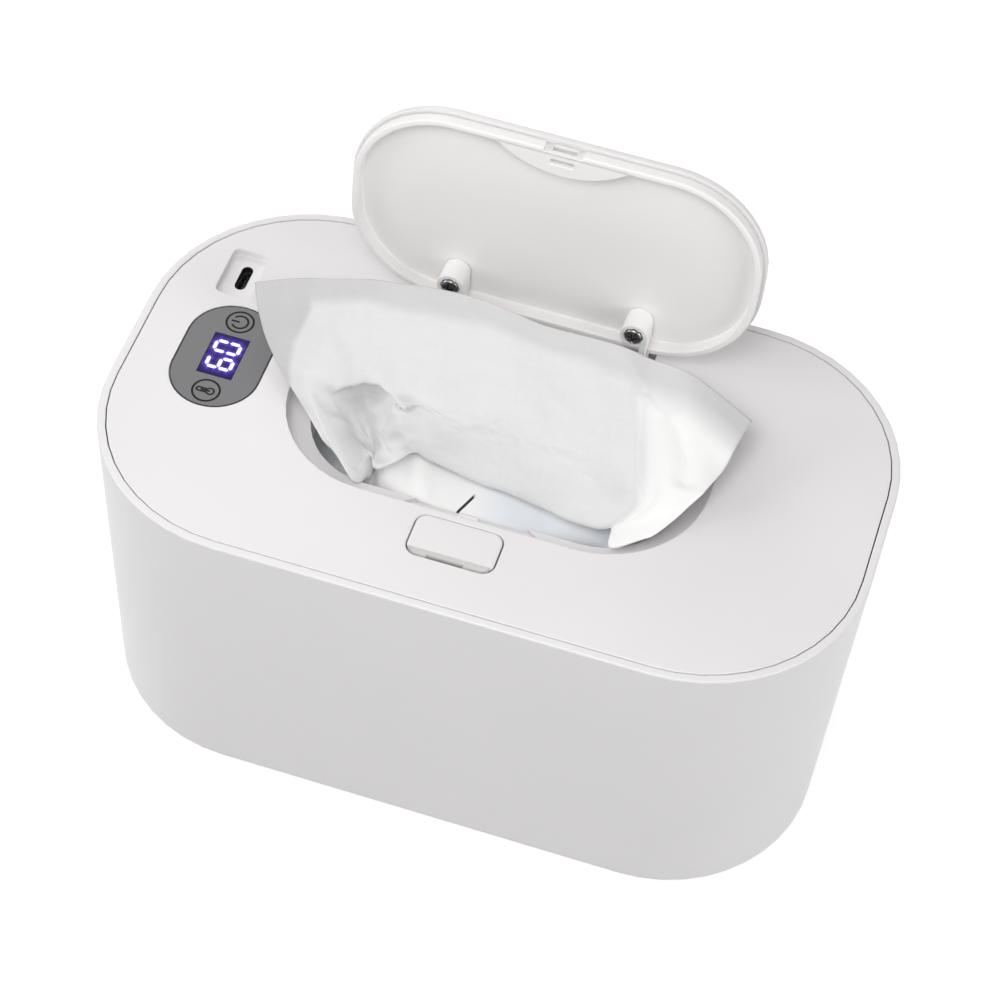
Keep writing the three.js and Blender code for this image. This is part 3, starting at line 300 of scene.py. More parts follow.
class StageValues(bpy.types.PropertyGroup):
    """Camera, floor and light"""
    azimuth: angle("Azimuth", 13.36, "Of the camera, from the front towards +X")
    elevation: angle("Elevation", 51.34, "Of the camera")
    roll: angle("Roll", 5.21, "Of the camera")
    distance: length("Distance", 771.6, "From the camera to its target")
    target_x: length("Target X", 6.66, "Where the camera looks")
    target_y: length("Target Y", -21.33, "Where the camera looks")
    target_z: length("Target Z", 102.32, "Where the camera looks")
    lens: amount("Lens", 106.6, "Focal length in millimetres")
    sensor: amount("Sensor", 36, "Width of the camera's sensor in millimetres")
    world: amount("World light", 0.30, "Strength of the even light from all sides")
    key: amount("Key light", 3.0, "Watts of the large lamp over the front")
    left: amount("Left light", 6.2, "Watts of the lamp at the left")
    right: amount("Right light", 7.0, "Watts of the lamp at the right")
    back: amount("Back light", 4.4, "Watts of the lamp behind at the left")
    near: amount("Near light", 0.92, "Watts of the small lamp over the opening")
    floor_size: length("Floor size", 6000, "Side of the floor")
    floor_glow: amount("Floor glow", 0.76, "White that the floor adds where the camera sees it")
    lit_reach: length("Lit reach", 500, "How far the lamps alone whiten the floor")


# Surfaces

def on_circle(radius, turn, x=0.0, y=0.0):
    """Places on a circle, at the given turns."""
    return np.stack([x + radius * np.cos(turn), y + radius * np.sin(turn)], 1)


def at_level(flat, level):
    """Places with one more coordinate, the same for all."""
    return np.concatenate([flat, np.full((len(flat), 1), level)], 1)


def rounded_outline(length, width, corner, x=0.0, y=0.0, steps=CORNER_STEPS):
    """A rectangle with round corners: each corner is a quarter turn of the radius about its own
    centre. Gives the points and their outward directions, counter-clockwise."""
    turn = (np.arange(4)[:, None] + np.linspace(0, 1, steps + 1)).ravel() * np.pi / 2
    outward = on_circle(1, turn)
    quarter = np.repeat([[1, 1], [-1, 1], [-1, -1], [1, -1]], steps + 1, axis=0)
    centre = np.array([x, y]) + quarter * (np.array([length, width]) / 2 - corner)
    return centre + corner * outward, outward


def with_stops(outline, ends):
    """A rounded outline with four more places on its straight front edge: one just before and one
    just after each of the two ends of a recess there."""
    points, outward = outline
    front, apart = 3 * (CORNER_STEPS + 1), 0.1 * MM
    stops = np.repeat(ends, 2) + np.array([-1, 1, -1, 1]) * apart
    more = at_level(stops[:, None], points[front, 1]), np.tile([[0.0, -1.0]], (4, 1))
    return [np.concatenate([part[:front], extra, part[front:]])
            for part, extra in zip((points, outward), more)]


def outward_of(points, closed=True):
    """Directions square to a path, to its right: the mean of the two edges at each point, made
    longer at a corner, so that an offset keeps its distance from both edges."""
    ahead = np.roll(points, -1, 0) - points
    behind = points - np.roll(points, 1, 0)
    if not closed:
        ahead[-1], behind[0] = behind[-1], ahead[0]
    ahead /= np.linalg.norm(ahead, axis=1, keepdims=True)
    behind /= np.linalg.norm(behind, axis=1, keepdims=True)
    mean = ahead + behind
    mean /= np.linalg.norm(mean, axis=1, keepdims=True)
    square = np.stack([mean[:, 1], -mean[:, 0]], 1)
    return square / np.sum(mean * ahead, 1, keepdims=True)


def side_profile(corners, hold=0.3 * MM, steps=5):
    """A line through corner places (inset, height, radius): each corner with a radius is turned by
    an arc that touches both its sides, with a place held just before and after it."""
    places = np.array(corners, float)
    line = [places[:1, :2]]
    for before, here, after in zip(places[:-2], places[1:-1], places[2:]):
        point, radius = here[:2], here[2]
        if radius == 0:
            line.append(point[None])
            continue
        back, on = before[:2] - point, after[:2] - point
        room_back, room_on = np.linalg.norm(back), np.linalg.norm(on)
        back, on = back / room_back, on / room_on
        half = math.acos(np.clip(back @ on, -1, 1)) / 2
        reach = radius / math.tan(half)
        middle = (back + on) / np.linalg.norm(back + on)
        centre = point + middle * radius / math.sin(half)
        start, end = point + back * reach - centre, point + on * reach - centre
        turn = math.pi - 2 * half
        share = np.linspace(0, 1, steps + 1)[:, None]
        arc = (np.sin((1 - share) * turn) * start + np.sin(share * turn) * end) / math.sin(turn)
        if room_back > reach + 2 * hold:
            line.append((point + back * (reach + hold))[None])
        line.append(centre + arc)
        if room_on > reach + 2 * hold:
            line.append((point + on * (reach + hold))[None])
    line.append(places[-1:, :2])
    return np.concatenate(line)


def carried(outline, profile):
    """A profile carried along an outline: row i, column j is the outline's place j moved in by the
    profile's inset i (one for all places, or one for each), at the profile's height i."""
    points, outward = outline
    inset, height = (part if part.ndim == 2 else np.repeat(part[:, None], len(points), 1)
                     for part in map(np.asarray, profile))
    flat = points[None] - inset[:, :, None] * outward[None]
    return np.concatenate([flat, height[:, :, None]], 2)


def grid_faces(rows, columns, wrap=True):
    """Four-sided faces between neighbours of a grid, which may close on itself along its rows."""
    j = np.arange(columns if wrap else columns - 1)
    i = np.arange(rows - 1)[:, None] * columns
    right = (j + 1) % columns
    return np.stack([i + j, i + right, i + right + columns, i + j + columns], -1).reshape(-1, 4)


def skin(grid):
    """Vertices and faces of a closed skin: the grid's faces, and a flat face on its first and last
    row."""
    rows, columns = grid.shape[:2]
    last = (rows - 1) * columns
    ends = [list(range(columns))[::-1], list(range(last, last + columns))]
    return grid.reshape(-1, 3), grid_faces(rows, columns).tolist() + ends


def filled(vertices, rims):
    """Faces that fill what is between the rings of vertices at one level, the largest first."""
    order = np.concatenate(rims)
    loops = [[tuple(vertices[n]) for n in rim] for rim in rims]
    return [[int(order[n]) for n in face] for face in tessellate_polygon(loops)]


def plate(outlines, low, high, edge, steps=3):
    """Vertices and faces of a flat plate: the first outline is its edge and the others are holes.
    Each rises from low as a wall and turns over a quarter circle of the edge's radius to the upper
    face, and the faces fill what is between the outlines."""
    hold = min(edge, HOLD)
    profile = side_profile(
        [(0, low, 0), (0, high, edge), (edge + 2.5 * hold, high, 0)], hold=hold, steps=steps)
    profile = np.concatenate([profile[:-1], [[edge + hold, high]]])
    vertices, faces, rims, start = [], [], [], 0
    for k, outline in enumerate(outlines):
        side = 1 if k == 0 else -1
        grid = carried(outline, (side * profile[:, 0], profile[:, 1]))
        rows, columns = grid.shape[:2]
        faces += (grid_faces(rows, columns) + start).tolist()
        vertices.append(grid.reshape(-1, 3))
        rims.append((start + np.arange(columns), start + (rows - 1) * columns + np.arange(columns)))
        start += rows * columns
    vertices = np.concatenate(vertices)
    for level in zip(*rims):
        faces += filled(vertices, level)
    return vertices, faces


def stroke(points, width, low, high, closed=False):
    """Vertices and faces of a flat line: a small rectangle carried along a path, half the width to
    each side of it, closed on itself or with flat ends."""
    half = outward_of(points, closed) * width / 2
    grid = np.stack([at_level(points + side * half, level)
                     for side, level in ((1, low), (1, high), (-1, high), (-1, low))], 1)
    count = len(points)
    faces = grid_faces(count, 4).tolist()
    if closed:
        last = 4 * count - 4
        faces += [[last + k, last + (k + 1) % 4, (k + 1) % 4, k] for k in range(4)]
    else:
        faces += [[3, 2, 1, 0], [4 * count - 4 + k for k in range(4)]]
    return grid.reshape(-1, 3), faces


def together(*parts):
    """Several sets of vertices and faces as one."""
    start = np.cumsum([0] + [len(vertices) for vertices, _ in parts])
    faces = [[n + int(first) for n in face] for (_, group), first in zip(parts, start)
             for face in group]
    return np.concatenate([vertices for vertices, _ in parts]), faces


def cubic_grid(places, rows, columns):
    """A smooth surface through a grid of places: along each direction, the cubic through four
    neighbours whose slope at a place is half the step between the places on either side of it."""
    def along(values, count):
        before, after = 2 * values[:1] - values[1:2], 2 * values[-1:] - values[-2:-1]
        padded = np.concatenate([before, values, after])
        at = np.linspace(0, len(values) - 1, count)
        first = np.minimum(at.astype(int), len(values) - 2)
        t = (at - first).reshape(-1, *[1] * (values.ndim - 1))
        a, b, c, d = (padded[first + k] for k in range(4))
        return 0.5 * (2 * b + (c - a) * t + (2 * a - 5 * b + 4 * c - d) * t ** 2
                      + (3 * b - a - 3 * c + d) * t ** 3)

    wide = along(np.swapaxes(places, 0, 1), columns)
    return along(np.swapaxes(wide, 0, 1), rows)


def waves(x, y, seed, count=7, longest=1.0):
    """A soft uneven field between about -1 and 1: a sum of sine waves of seeded directions, lengths
    from the longest down to a fifth of it, and phases."""
    pick = np.random.default_rng(seed)
    turn = pick.uniform(0, np.pi, count)
    pace = 2 * np.pi / (longest * np.linspace(1, 0.2, count))
    phase = pick.uniform(0, 2 * np.pi, count)
    weight = np.linspace(1, 0.25, count)
    total = sum(share * np.sin(rate * (x * np.cos(bearing) + y * np.sin(bearing)) + shift)
                for bearing, rate, shift, share in zip(turn, pace, phase, weight))
    return total / weight.sum() * 1.8


def near_path(grid, square, path):
    """For every place of a grid: how far it is from a path of rows and columns, to which side of
    the path (1 at its left, -1 at its right), and how far along the path from 0 to 1."""
    spots, upward = grid[path[:, 1], path[:, 0]], square[path[:, 1], path[:, 0]]
    far = np.full(grid.shape[:2], np.inf)
    side, along = np.zeros_like(far), np.zeros_like(far)
    parts = len(spots) - 1
    for k in range(parts):
        way = spots[k + 1] - spots[k]
        share = np.clip((grid - spots[k]) @ way / (way @ way), 0, 1)
        off = grid - spots[k] - share[..., None] * way
        apart = np.linalg.norm(off, axis=2)
        nearer = apart < far
        far = np.where(nearer, apart, far)
        side = np.where(nearer, np.sign(off @ np.cross(upward[k], way)), side)
        along = np.where(nearer, (k + share) / parts, along)
    return far, side, along


def step(t):
    """A soft step: 0 below 0, 1 above 1, and three squares less two cubes between."""
    t = np.clip(t, 0, 1)
    return t * t * (3 - 2 * t)


# Pieces

def make_piece(name, shape, body, finish, nodes=(), sharp=40.0, outward=True):
    """A piece from vertices and faces: its faces turned outwards, smooth but for edges sharper than
    the angle, riding on its body and standing for its nodes, with its finish's material."""
    vertices, faces = shape
    mesh = bpy.data.meshes.new(name)
    mesh.from_pydata(np.asarray(vertices).tolist(), [], faces)
    mesh.update()
    if outward:
        work = bmesh.new()
        work.from_mesh(mesh)
        bmesh.ops.recalc_face_normals(work, faces=work.faces)
        work.to_mesh(mesh)
        work.free()
    mesh.shade_smooth()
    mesh.set_sharp_from_angle(angle=math.radians(sharp))
    mesh.materials.append(MATERIALS[finish])
    piece = bpy.data.objects.new(name, mesh)
    bpy.context.scene.collection.objects.link(piece)
    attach(piece, body)
    if nodes:
        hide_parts(*nodes)
    return piece


def paint(piece, **marks):
    """Writes fields of values on a piece's vertices, each as an attribute of its name."""
    for name, values in marks.items():
        layer = piece.data.attributes.new(name, "FLOAT", "POINT")
        layer.data.foreach_set("value", values.astype(np.float32).ravel())


def merged_copy(node):
    """Vertices and three-sided faces of a copy of a CAD node, with its doubles merged."""
    work = bmesh.new()
    work.from_mesh(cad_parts[node].data)
    bmesh.ops.remove_doubles(work, verts=work.verts, dist=1e-6)
    vertices = np.array([v.co for v in work.verts])
    faces = [[v.index for v in face.verts] for face in work.faces]
    work.free()
    return vertices, faces


def loops_of(edges):
    """Closed loops from directed edges, each edge's end being the next one's start."""
    following = dict(edges.tolist())
    loops = []
    while following:
        start, here = next(iter(following.items()))
        loop = [start]
        del following[start]
        while here != start:
            loop.append(here)
            here = following.pop(here)
        loops.append(np.array(loop))
    return loops


def rounded_face(body, level, radius_of, steps):
    """Rounds every edge of a body's upper face. The face at the level and the small facets at its
    edge are taken off. Each open loop is let down, carried up again by a quarter circle of its
    radius that turns over the material, and what is between the last rings is filled."""
    facets = 0.42 * MM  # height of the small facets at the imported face's edge
    vertices, faces = body[0], np.array(body[1])
    corner = vertices[faces]
    square = np.cross(corner[:, 1] - corner[:, 0], corner[:, 2] - corner[:, 0])
    square /= np.linalg.norm(square, axis=1, keepdims=True)
    gone = (square[:, 2] > 0.05) & (corner[:, :, 2].mean(1) > level - facets)
    kept = faces[~gone]
    edges = np.concatenate([kept[:, [0, 1]], kept[:, [1, 2]], kept[:, [2, 0]]])
    count = len(vertices)
    key, mirror = edges @ (count, 1), edges @ (1, count)
    shape = [vertices.copy()]
    added = kept.tolist()
    start, rims = count, []
    for loop in loops_of(edges[~np.isin(key, mirror)][:, ::-1]):
        place = vertices[loop, :2]
        radius = radius_of(place)
        shape[0][loop, 2] = level - radius - HOLD
        turn = np.linspace(0, np.pi / 2, steps + 1)
        inset = np.append(radius * (1 - np.cos(turn)), radius + HOLD)
        height = np.append(level - radius + radius * np.sin(turn), level)
        grid = carried((place, outward_of(place)), (inset, height))
        rows, columns = grid.shape[:2]
        shape.append(grid.reshape(-1, 3))
        fresh = start + np.arange(rows * columns).reshape(rows, columns)
        index = np.concatenate([loop[None], fresh])
        ahead = np.roll(index, -1, 1)
        quads = np.stack([index[:-1], ahead[:-1], ahead[1:], index[1:]], -1).reshape(-1, 4)
        added += quads.tolist()
        rims.append(index[-1])
        start += rows * columns
    shape = np.concatenate(shape)
    rims.sort(key=lambda rim: -np.ptp(shape[rim, 0]))
    return shape, added + filled(shape, rims)


# Materials

def put(tree, socket, value):
    """Links a socket to another one, or sets its value."""
    if isinstance(value, bpy.types.NodeSocket):
        tree.links.new(value, socket)
    else:
        socket.default_value = value


def add(tree, kind, inputs=None, **settings):
    """A node with its settings, and its inputs as values or as sockets to link from."""
    node = tree.nodes.new(kind)
    for name, value in settings.items():
        setattr(node, name, value)
    for name, value in (inputs or {}).items():
        put(tree, node.inputs[name], value)
    return node


def noise(tree, place, scale, detail, **inputs):
    """Soft noise between 0 and 1."""
    return add(tree, "ShaderNodeTexNoise", {
        "Vector": place, "Scale": scale, "Detail": detail, **inputs}).outputs["Fac"]


def mapped(tree, value, span, to):
    """A value carried from one span to another, and held at its ends."""
    return add(tree, "ShaderNodeMapRange", {
        "Value": value, "From Min": span[0], "From Max": span[1],
        "To Min": to[0], "To Max": to[1]}).outputs["Result"]


def combined(tree, operation, one, two):
    """A number worked out from two others."""
    return add(tree, "ShaderNodeMath", {0: one, 1: two}, operation=operation).outputs[0]


def shaded(tree, tint, share):
    """A colour times a share."""
    return add(tree, "ShaderNodeVectorMath", {
        0: tint, "Scale": share}, operation="SCALE").outputs[0]


def stretched(tree, place, pace):
    """A place with each direction times its own pace."""
    return add(tree, "ShaderNodeVectorMath", {0: place, 1: pace}, operation="MULTIPLY").outputs[0]


def mixed(tree, share, one, two):
    """The first colour where the share is 0, and the second where it is 1."""
    return add(tree, "ShaderNodeMix", {
        "Factor": share, "A": one, "B": two}, data_type="RGBA").outputs["Result"]


def painted(tree, name):
    """The values that paint wrote on the piece under a name."""
    return add(tree, "ShaderNodeAttribute", attribute_name=name).outputs["Fac"]


def ray_mask(tree, *kinds):
    """1 for rays of the given kinds, and 0 for all others."""
    path = add(tree, "ShaderNodeLightPath").outputs
    mask = path[kinds[0]]
    for kind in kinds[1:]:
        mask = combined(tree, "MAXIMUM", mask, path[kind])
    return mask


def moulded_grain(group, start):
    """Fine sparked grain of moulded plastic, with a slow change of tone and of roughness."""
    grain = noise(group, start["Vector"], start["Grain Scale"], 3, Roughness=0.6)
    slow = noise(group, start["Vector"], 24, 3)
    tone = mapped(group, slow, (0.3, 0.7), (combined(group, "SUBTRACT", 1, start["Tone"]), 1))
    rough = mapped(group, slow, (0.3, 0.7), (start["Low Roughness"], start["High Roughness"]))
    return shaded(group, start["Color"], tone), rough, grain


def drawn_metal(group, start):
    """Fine scratches of drawn or turned metal, long along one direction, and a soft stain."""
    scratch = noise(group, stretched(group, start["Vector"], (300, 4200, 4200)), 1, 2)
    stain = noise(group, start["Vector"], 160, 4)
    tone = mapped(group, stain, (0.35, 0.65), (0.88, 1))
    rough = mapped(group, scratch, (0.3, 0.7), (start["Low Roughness"], start["High Roughness"]))
    return shaded(group, start["Color"], tone), rough, scratch


def fibre_web(group, start):
    """Web of a damp nonwoven: long fibres that cross at random, thin places, and rows of small
    pressed dimples."""
    one, two = (noise(group, stretched(group, start["Vector"], pace), 1, 3, Distortion=0.6)
                for pace in ((900, 120, 1), (150, 800, 1)))
    dimples = add(group, "ShaderNodeTexVoronoi", {
        "Vector": start["Vector"], "Scale": 75, "Randomness": 0.25})
    dip = mapped(group, dimples.outputs["Distance"], (0.1, 0.45), (0, 0.5))
    fibres = combined(group, "ADD", one, two)
    tone = mapped(group, fibres, (0.75, 1.15), (combined(group, "SUBTRACT", 1, start["Thin"]), 1))
    rough = mapped(group, one, (0.3, 0.7), (0.6, 0.9))
    height = combined(group, "ADD", fibres, dip)
    return shaded(group, start["Color"], tone), rough, height


def effect(build, names):
    """The node group that a function fills, made once. From a place, a colour and its own values it
    gives a colour, a roughness and a height."""
    if build in EFFECTS:
        return EFFECTS[build]
    label = build.__name__.replace("_", " ").capitalize()
    group = EFFECTS[build] = bpy.data.node_groups.new(label, "ShaderNodeTree")
    kinds = {"Vector": "NodeSocketVector", "Color": "NodeSocketColor"}
    sides = {"INPUT": ("Vector", *names), "OUTPUT": ("Color", "Roughness", "Height")}
    for side, labels in sides.items():
        for name in labels:
            group.interface.new_socket(
                name=name, in_out=side, socket_type=kinds.get(name, "NodeSocketFloat"))
    results = build(group, group.nodes.new("NodeGroupInput").outputs)
    end = group.nodes.new("NodeGroupOutput")
    for name, result in zip(sides["OUTPUT"], results):
        group.links.new(result, end.inputs[name])
    return group


def finish_material(name, build, values, bump, depth, shader, coordinate="Object"):
    """A material whose shader takes its colour, roughness and relief from an effect group. The
    shader's uniform values are set on its own sockets."""
    material = bpy.data.materials.new(name)
    material.use_nodes = True
    tree = material.node_tree
    place = add(tree, "ShaderNodeTexCoord").outputs[coordinate]
    group = add(tree, "ShaderNodeGroup", node_tree=effect(build, values))
    for label, value in {"Vector": place, **values}.items():
        put(tree, group.inputs[label], value)
    relief = add(tree, "ShaderNodeBump", {
        "Height": group.outputs["Height"], "Strength": bump, "Distance": depth})
    sockets = {"Base Color": group.outputs["Color"], "Roughness": group.outputs["Roughness"],
               "Normal": relief.outputs["Normal"]}
    for label, value in {**sockets, **shader}.items():
        put(tree, tree.nodes["Principled BSDF"].inputs[label], value)
    return material


def plastic(name, tint, low=0.3, high=0.42, tone=0.025, grain=2600.0, bump=0.06, **shader):
    """A plastic whose roughness runs from low to high and whose tone changes by a small share."""
    values = {"Color": (*tint, 1), "Tone": tone, "Grain Scale": grain,
              "Low Roughness": low, "High Roughness": high}
    shader = {label.replace("_", " "): value for label, value in shader.items()}
    return finish_material(name, moulded_grain, values, bump, depth=0.02 * MM, shader=shader)


def metal(name, tint, low=0.18, high=0.34):
    """A metal whose roughness runs from low to high."""
    values = {"Color": (*tint, 1), "Low Roughness": low, "High Roughness": high}
    return finish_material(
        name, drawn_metal, values, bump=0.15, depth=0.01 * MM, shader={"Metallic": 1.0})


def make_materials(tints, wipe):
    """Every finish by its name."""
    plastics = {
        "white_shell": (tints.shell, 0.30, 0.40),
        "white_inner": (tints.inner, 0.36, 0.46),
        "silicone": (tints.silicone, 0.55, 0.7, 0.05, 900, 0.1),
        "rubber": (tints.rubber, 0.75, 0.9, 0.2, 1500, 0.3),
        "black_plastic": (tints.black, 0.4, 0.55, 0.2),
        "grey_film": (tints.film, 0.34, 0.46, 0.03, 3400, 0.05),
        "display_body": (tints.inner, 0.4, 0.5),
        "board": (tints.board, 0.3, 0.45, 0.25, 700, 0.1),
        "polyimide": (tints.polyimide, 0.25, 0.4, 0.2, 500, 0.1),
        "red_lead": (tints.red, 0.4, 0.5, 0.1),
        "black_lead": (tints.black, 0.4, 0.5, 0.2),
    }
    metals = {
        "steel": (tints.steel,),
        # Painted reflection: the darker copy of the steel for the lid screws' heads
        "dark_chrome": (tints.chrome, 0.1, 0.2),
        "spring_steel": (tints.spring, 0.25, 0.4),
        "aluminium": (tints.aluminium, 0.35, 0.5),
    }
    return {
        **{name: plastic(name, *row) for name, row in plastics.items()},
        **{name: metal(name, *row) for name, row in metals.items()},
        "print_ink": plastic("print_ink", tints.print, 0.45, 0.6, 0.2, Specular_IOR_Level=0.1),
        "digit_light": plastic("digit_light", tints.digit, 0.3, 0.4, 0.05, 300, 0,
                               Emission_Color=(*tints.digit, 1), Emission_Strength=0.7),
        "packet": plastic("packet", tints.packet, 0.14, 0.3, 0.12, 420, 0.35, Coat_Weight=0.4),
        "display_glass": display_material(tints),
        "button_white": button_material(tints),
        "cloth": cloth_material(tints, wipe),
    }


def display_material(tints):
    """Dark glass that glows near the digits."""
    dim = [0.2 * part for part in tints.display]
    bright = [1.35 * part + 0.05 for part in tints.display]
    material = plastic("display_glass", dim, 0.25, 0.35, 0.1, 300, 0,
                       Specular_IOR_Level=0.1, Emission_Strength=1.0)
    tree = material.node_tree
    glow = mixed(tree, painted(tree, "glow"), (*dim, 1), (*bright, 1))
    put(tree, tree.nodes["Principled BSDF"].inputs["Emission Color"], glow)
    return material


def button_material(tints):
    """White plastic with painted shade: the slope along the front is greyer where the attribute says
    so.
    """
    material = plastic("button_white", tints.shell, 0.30, 0.40)
    tree = material.node_tree
    base = tree.nodes["Principled BSDF"].inputs["Base Color"]
    grip = mapped(tree, painted(tree, "grip"), (0, 0.12), (0, 1))
    put(tree, base, mixed(tree, grip, base.links[0].from_socket, (*tints.grip, 1)))
    return material


def line_mask(tree, ends, width):
    """Mask of a straight line between two places of the UV map: 1 within its width, 0 outside."""
    middle, half = (ends[0] + ends[1]) / 2, (ends[1] - ends[0]) / 2
    place = add(tree, "ShaderNodeTexCoord").outputs["UV"]
    local = add(tree, "ShaderNodeMapping", {
        "Vector": place, "Location": (*middle, 0),
        "Rotation": (0, 0, math.atan2(half[1], half[0])),
        "Scale": (float(np.hypot(*half)), width / 2, 1)}, vector_type="TEXTURE").outputs["Vector"]
    size = add(tree, "ShaderNodeVectorMath", {0: local}, operation="ABSOLUTE").outputs["Vector"]
    away = add(tree, "ShaderNodeSeparateXYZ", {"Vector": size}).outputs
    return mapped(tree, combined(tree, "MAXIMUM", away["X"], away["Y"]), (0.8, 1), (1, 0))


def cloth_material(tints, wipe):
    """Damp white nonwoven, greyer and a little see-through where it is a single layer. Painted light
    makes the right flap and the part under the turn lighter, and a black painted shadow line lies on
    the shelf.
    """
    material = finish_material(
        "cloth", fibre_web, {"Color": (*tints.cloth, 1), "Thin": 0.03}, bump=0.18,
        depth=0.04 * MM, shader={"Sheen Weight": 0.1}, coordinate="UV")
    tree = material.node_tree
    surface = tree.nodes["Principled BSDF"].inputs
    single = painted(tree, "single_layer")
    greyer = mapped(tree, single, (0, 1), (1, 0.90))
    shade = shaded(tree, surface["Base Color"].links[0].from_socket, greyer)
    ends = np.array(PAINTED_SHADOW_LINE) / WIPE_LAST * (wipe.flat_width, wipe.flat_length)
    marks = (
        # Painted light: the right flap and the part under the turn get a lighter tone
        (painted(tree, "double_layer"), tints.double),
        (painted(tree, "damp"), tints.damp),
        # Painted shadow: a short black line on the shelf
        (line_mask(tree, ends, wipe.dark_edge), tints.black),
    )
    for mark, tint in marks:
        shade = mixed(tree, mark, shade, (*tint, 1))
    put(tree, surface["Base Color"], shade)
    put(tree, surface["Alpha"], mapped(tree, single, (0, 1), (1, 0.82)))
    return material


# Operators

class WARMER_OT_finishes(bpy.types.Operator):
    """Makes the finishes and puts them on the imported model's own nodes"""
    bl_idname = "warmer.finishes"
    bl_label = "Finishes"

    def execute(self, context):
        MATERIALS.update(make_materials(context.scene.warmer_finish, context.scene.warmer_wipe))
        for name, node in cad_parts.items():
            slot = node.data.materials[0].name.split(".")[0]
            if slot not in MATERIALS:
                raise RuntimeError(f"{name} has no finish named {slot!r}")
            for place in node.material_slots:
                place.link = "OBJECT"
                place.material = MATERIALS[slot]
        return {"FINISHED"}


class WARMER_OT_tub(bpy.types.Operator):
    """Tub and feet: the tub's side profile carried round its outline, and four turned pads"""
    bl_idname = "warmer.tub"
    bl_label = "Tub and feet"

    def execute(self, context):
        s = context.scene.warmer_tub
        base, shelf = DECK_TOP - s.height, DECK_TOP - s.shelf_depth
        floor = base + s.floor
        outside, ledge, inside = (
            s.draft * (DECK_TOP - z) / s.height for z in (base, shelf, floor))
        profile = side_profile([
            (outside + s.base_round + SPARE, base, 0),
            (outside, base, s.base_round),
            (0, DECK_TOP, s.rim_round),
            (s.rim_width, DECK_TOP, s.rim_round / 3),
            (s.rim_width, shelf, 0),
            (ledge + s.wall, shelf, 0),
            (inside + s.wall, floor, s.base_round),
            (inside + s.wall + s.base_round + SPARE, floor, 0),
        ], steps=6)
        outline = rounded_outline(s.length, s.width, s.corner)
        make_piece("tub_body", skin(carried(outline, profile.T)), "base", "white_shell",
                   ["tub_shell"])

        half = s.foot_radius / 2
        pad = side_profile([
            (half, 0, 0), (0, 0, s.foot_height / 2), (0, s.foot_height, 0),
            (half, s.foot_height, 0)], hold=0.1 * MM, steps=4)
        turn = np.linspace(0, 2 * np.pi, 41)[:-1]
        for k, (x, y) in enumerate([(1, 1), (-1, 1), (1, -1), (-1, -1)], 1):
            round_foot = on_circle(s.foot_radius, turn, x * s.foot_x, y * s.foot_y)
            make_piece(f"foot_pad_{k}", skin(carried((round_foot, on_circle(1, turn)), pad.T)),
                       "base", "rubber", [f"foot_{k}"])
        return {"FINISHED"}


class WARMER_OT_cover(bpy.types.Operator):
    """Top cover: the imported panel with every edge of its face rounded"""
    bl_idname = "warmer.cover"
    bl_label = "Top cover"

    def execute(self, context):
        s, control = context.scene.warmer_cover, context.scene.warmer_control

        def radius_of(loop):
            off = (loop.min(0) + loop.max(0)) / 2 - (control.x, control.y)
            return s.fine_round if (np.abs(off) < MM).all() else s.edge_round

        shape = rounded_face(merged_copy("deck_panel"), DECK_TOP, radius_of, s.edge_steps)
        make_piece("cover_panel", shape, "top_cover", "white_shell", ["deck_panel"], sharp=33)
        return {"FINISHED"}


class WARMER_OT_inlet(bpy.types.Operator):
    """Power inlet: a black sleeve that lines its slot, whose black is painted shade for the inside
    of the slot
    """
    bl_idname = "warmer.inlet"
    bl_label = "Power inlet"

    def execute(self, context):
        s = context.scene.warmer_inlet
        high, low = DECK_TOP - s.depth - TRIM, DECK_TOP - s.depth - s.floor + TRIM
        sides = [rounded_outline(s.width - inset, s.length - inset, (s.width - inset) / 2, s.x, s.y)
                 for inset in (0, 2 * s.wall)]
        # Painted shade: the sleeve's black stands in for the shade inside the slot
        make_piece("inlet_sleeve", plate(sides, low, high, edge=0.08 * MM), "top_cover",
                   "black_plastic")
        return {"FINISHED"}


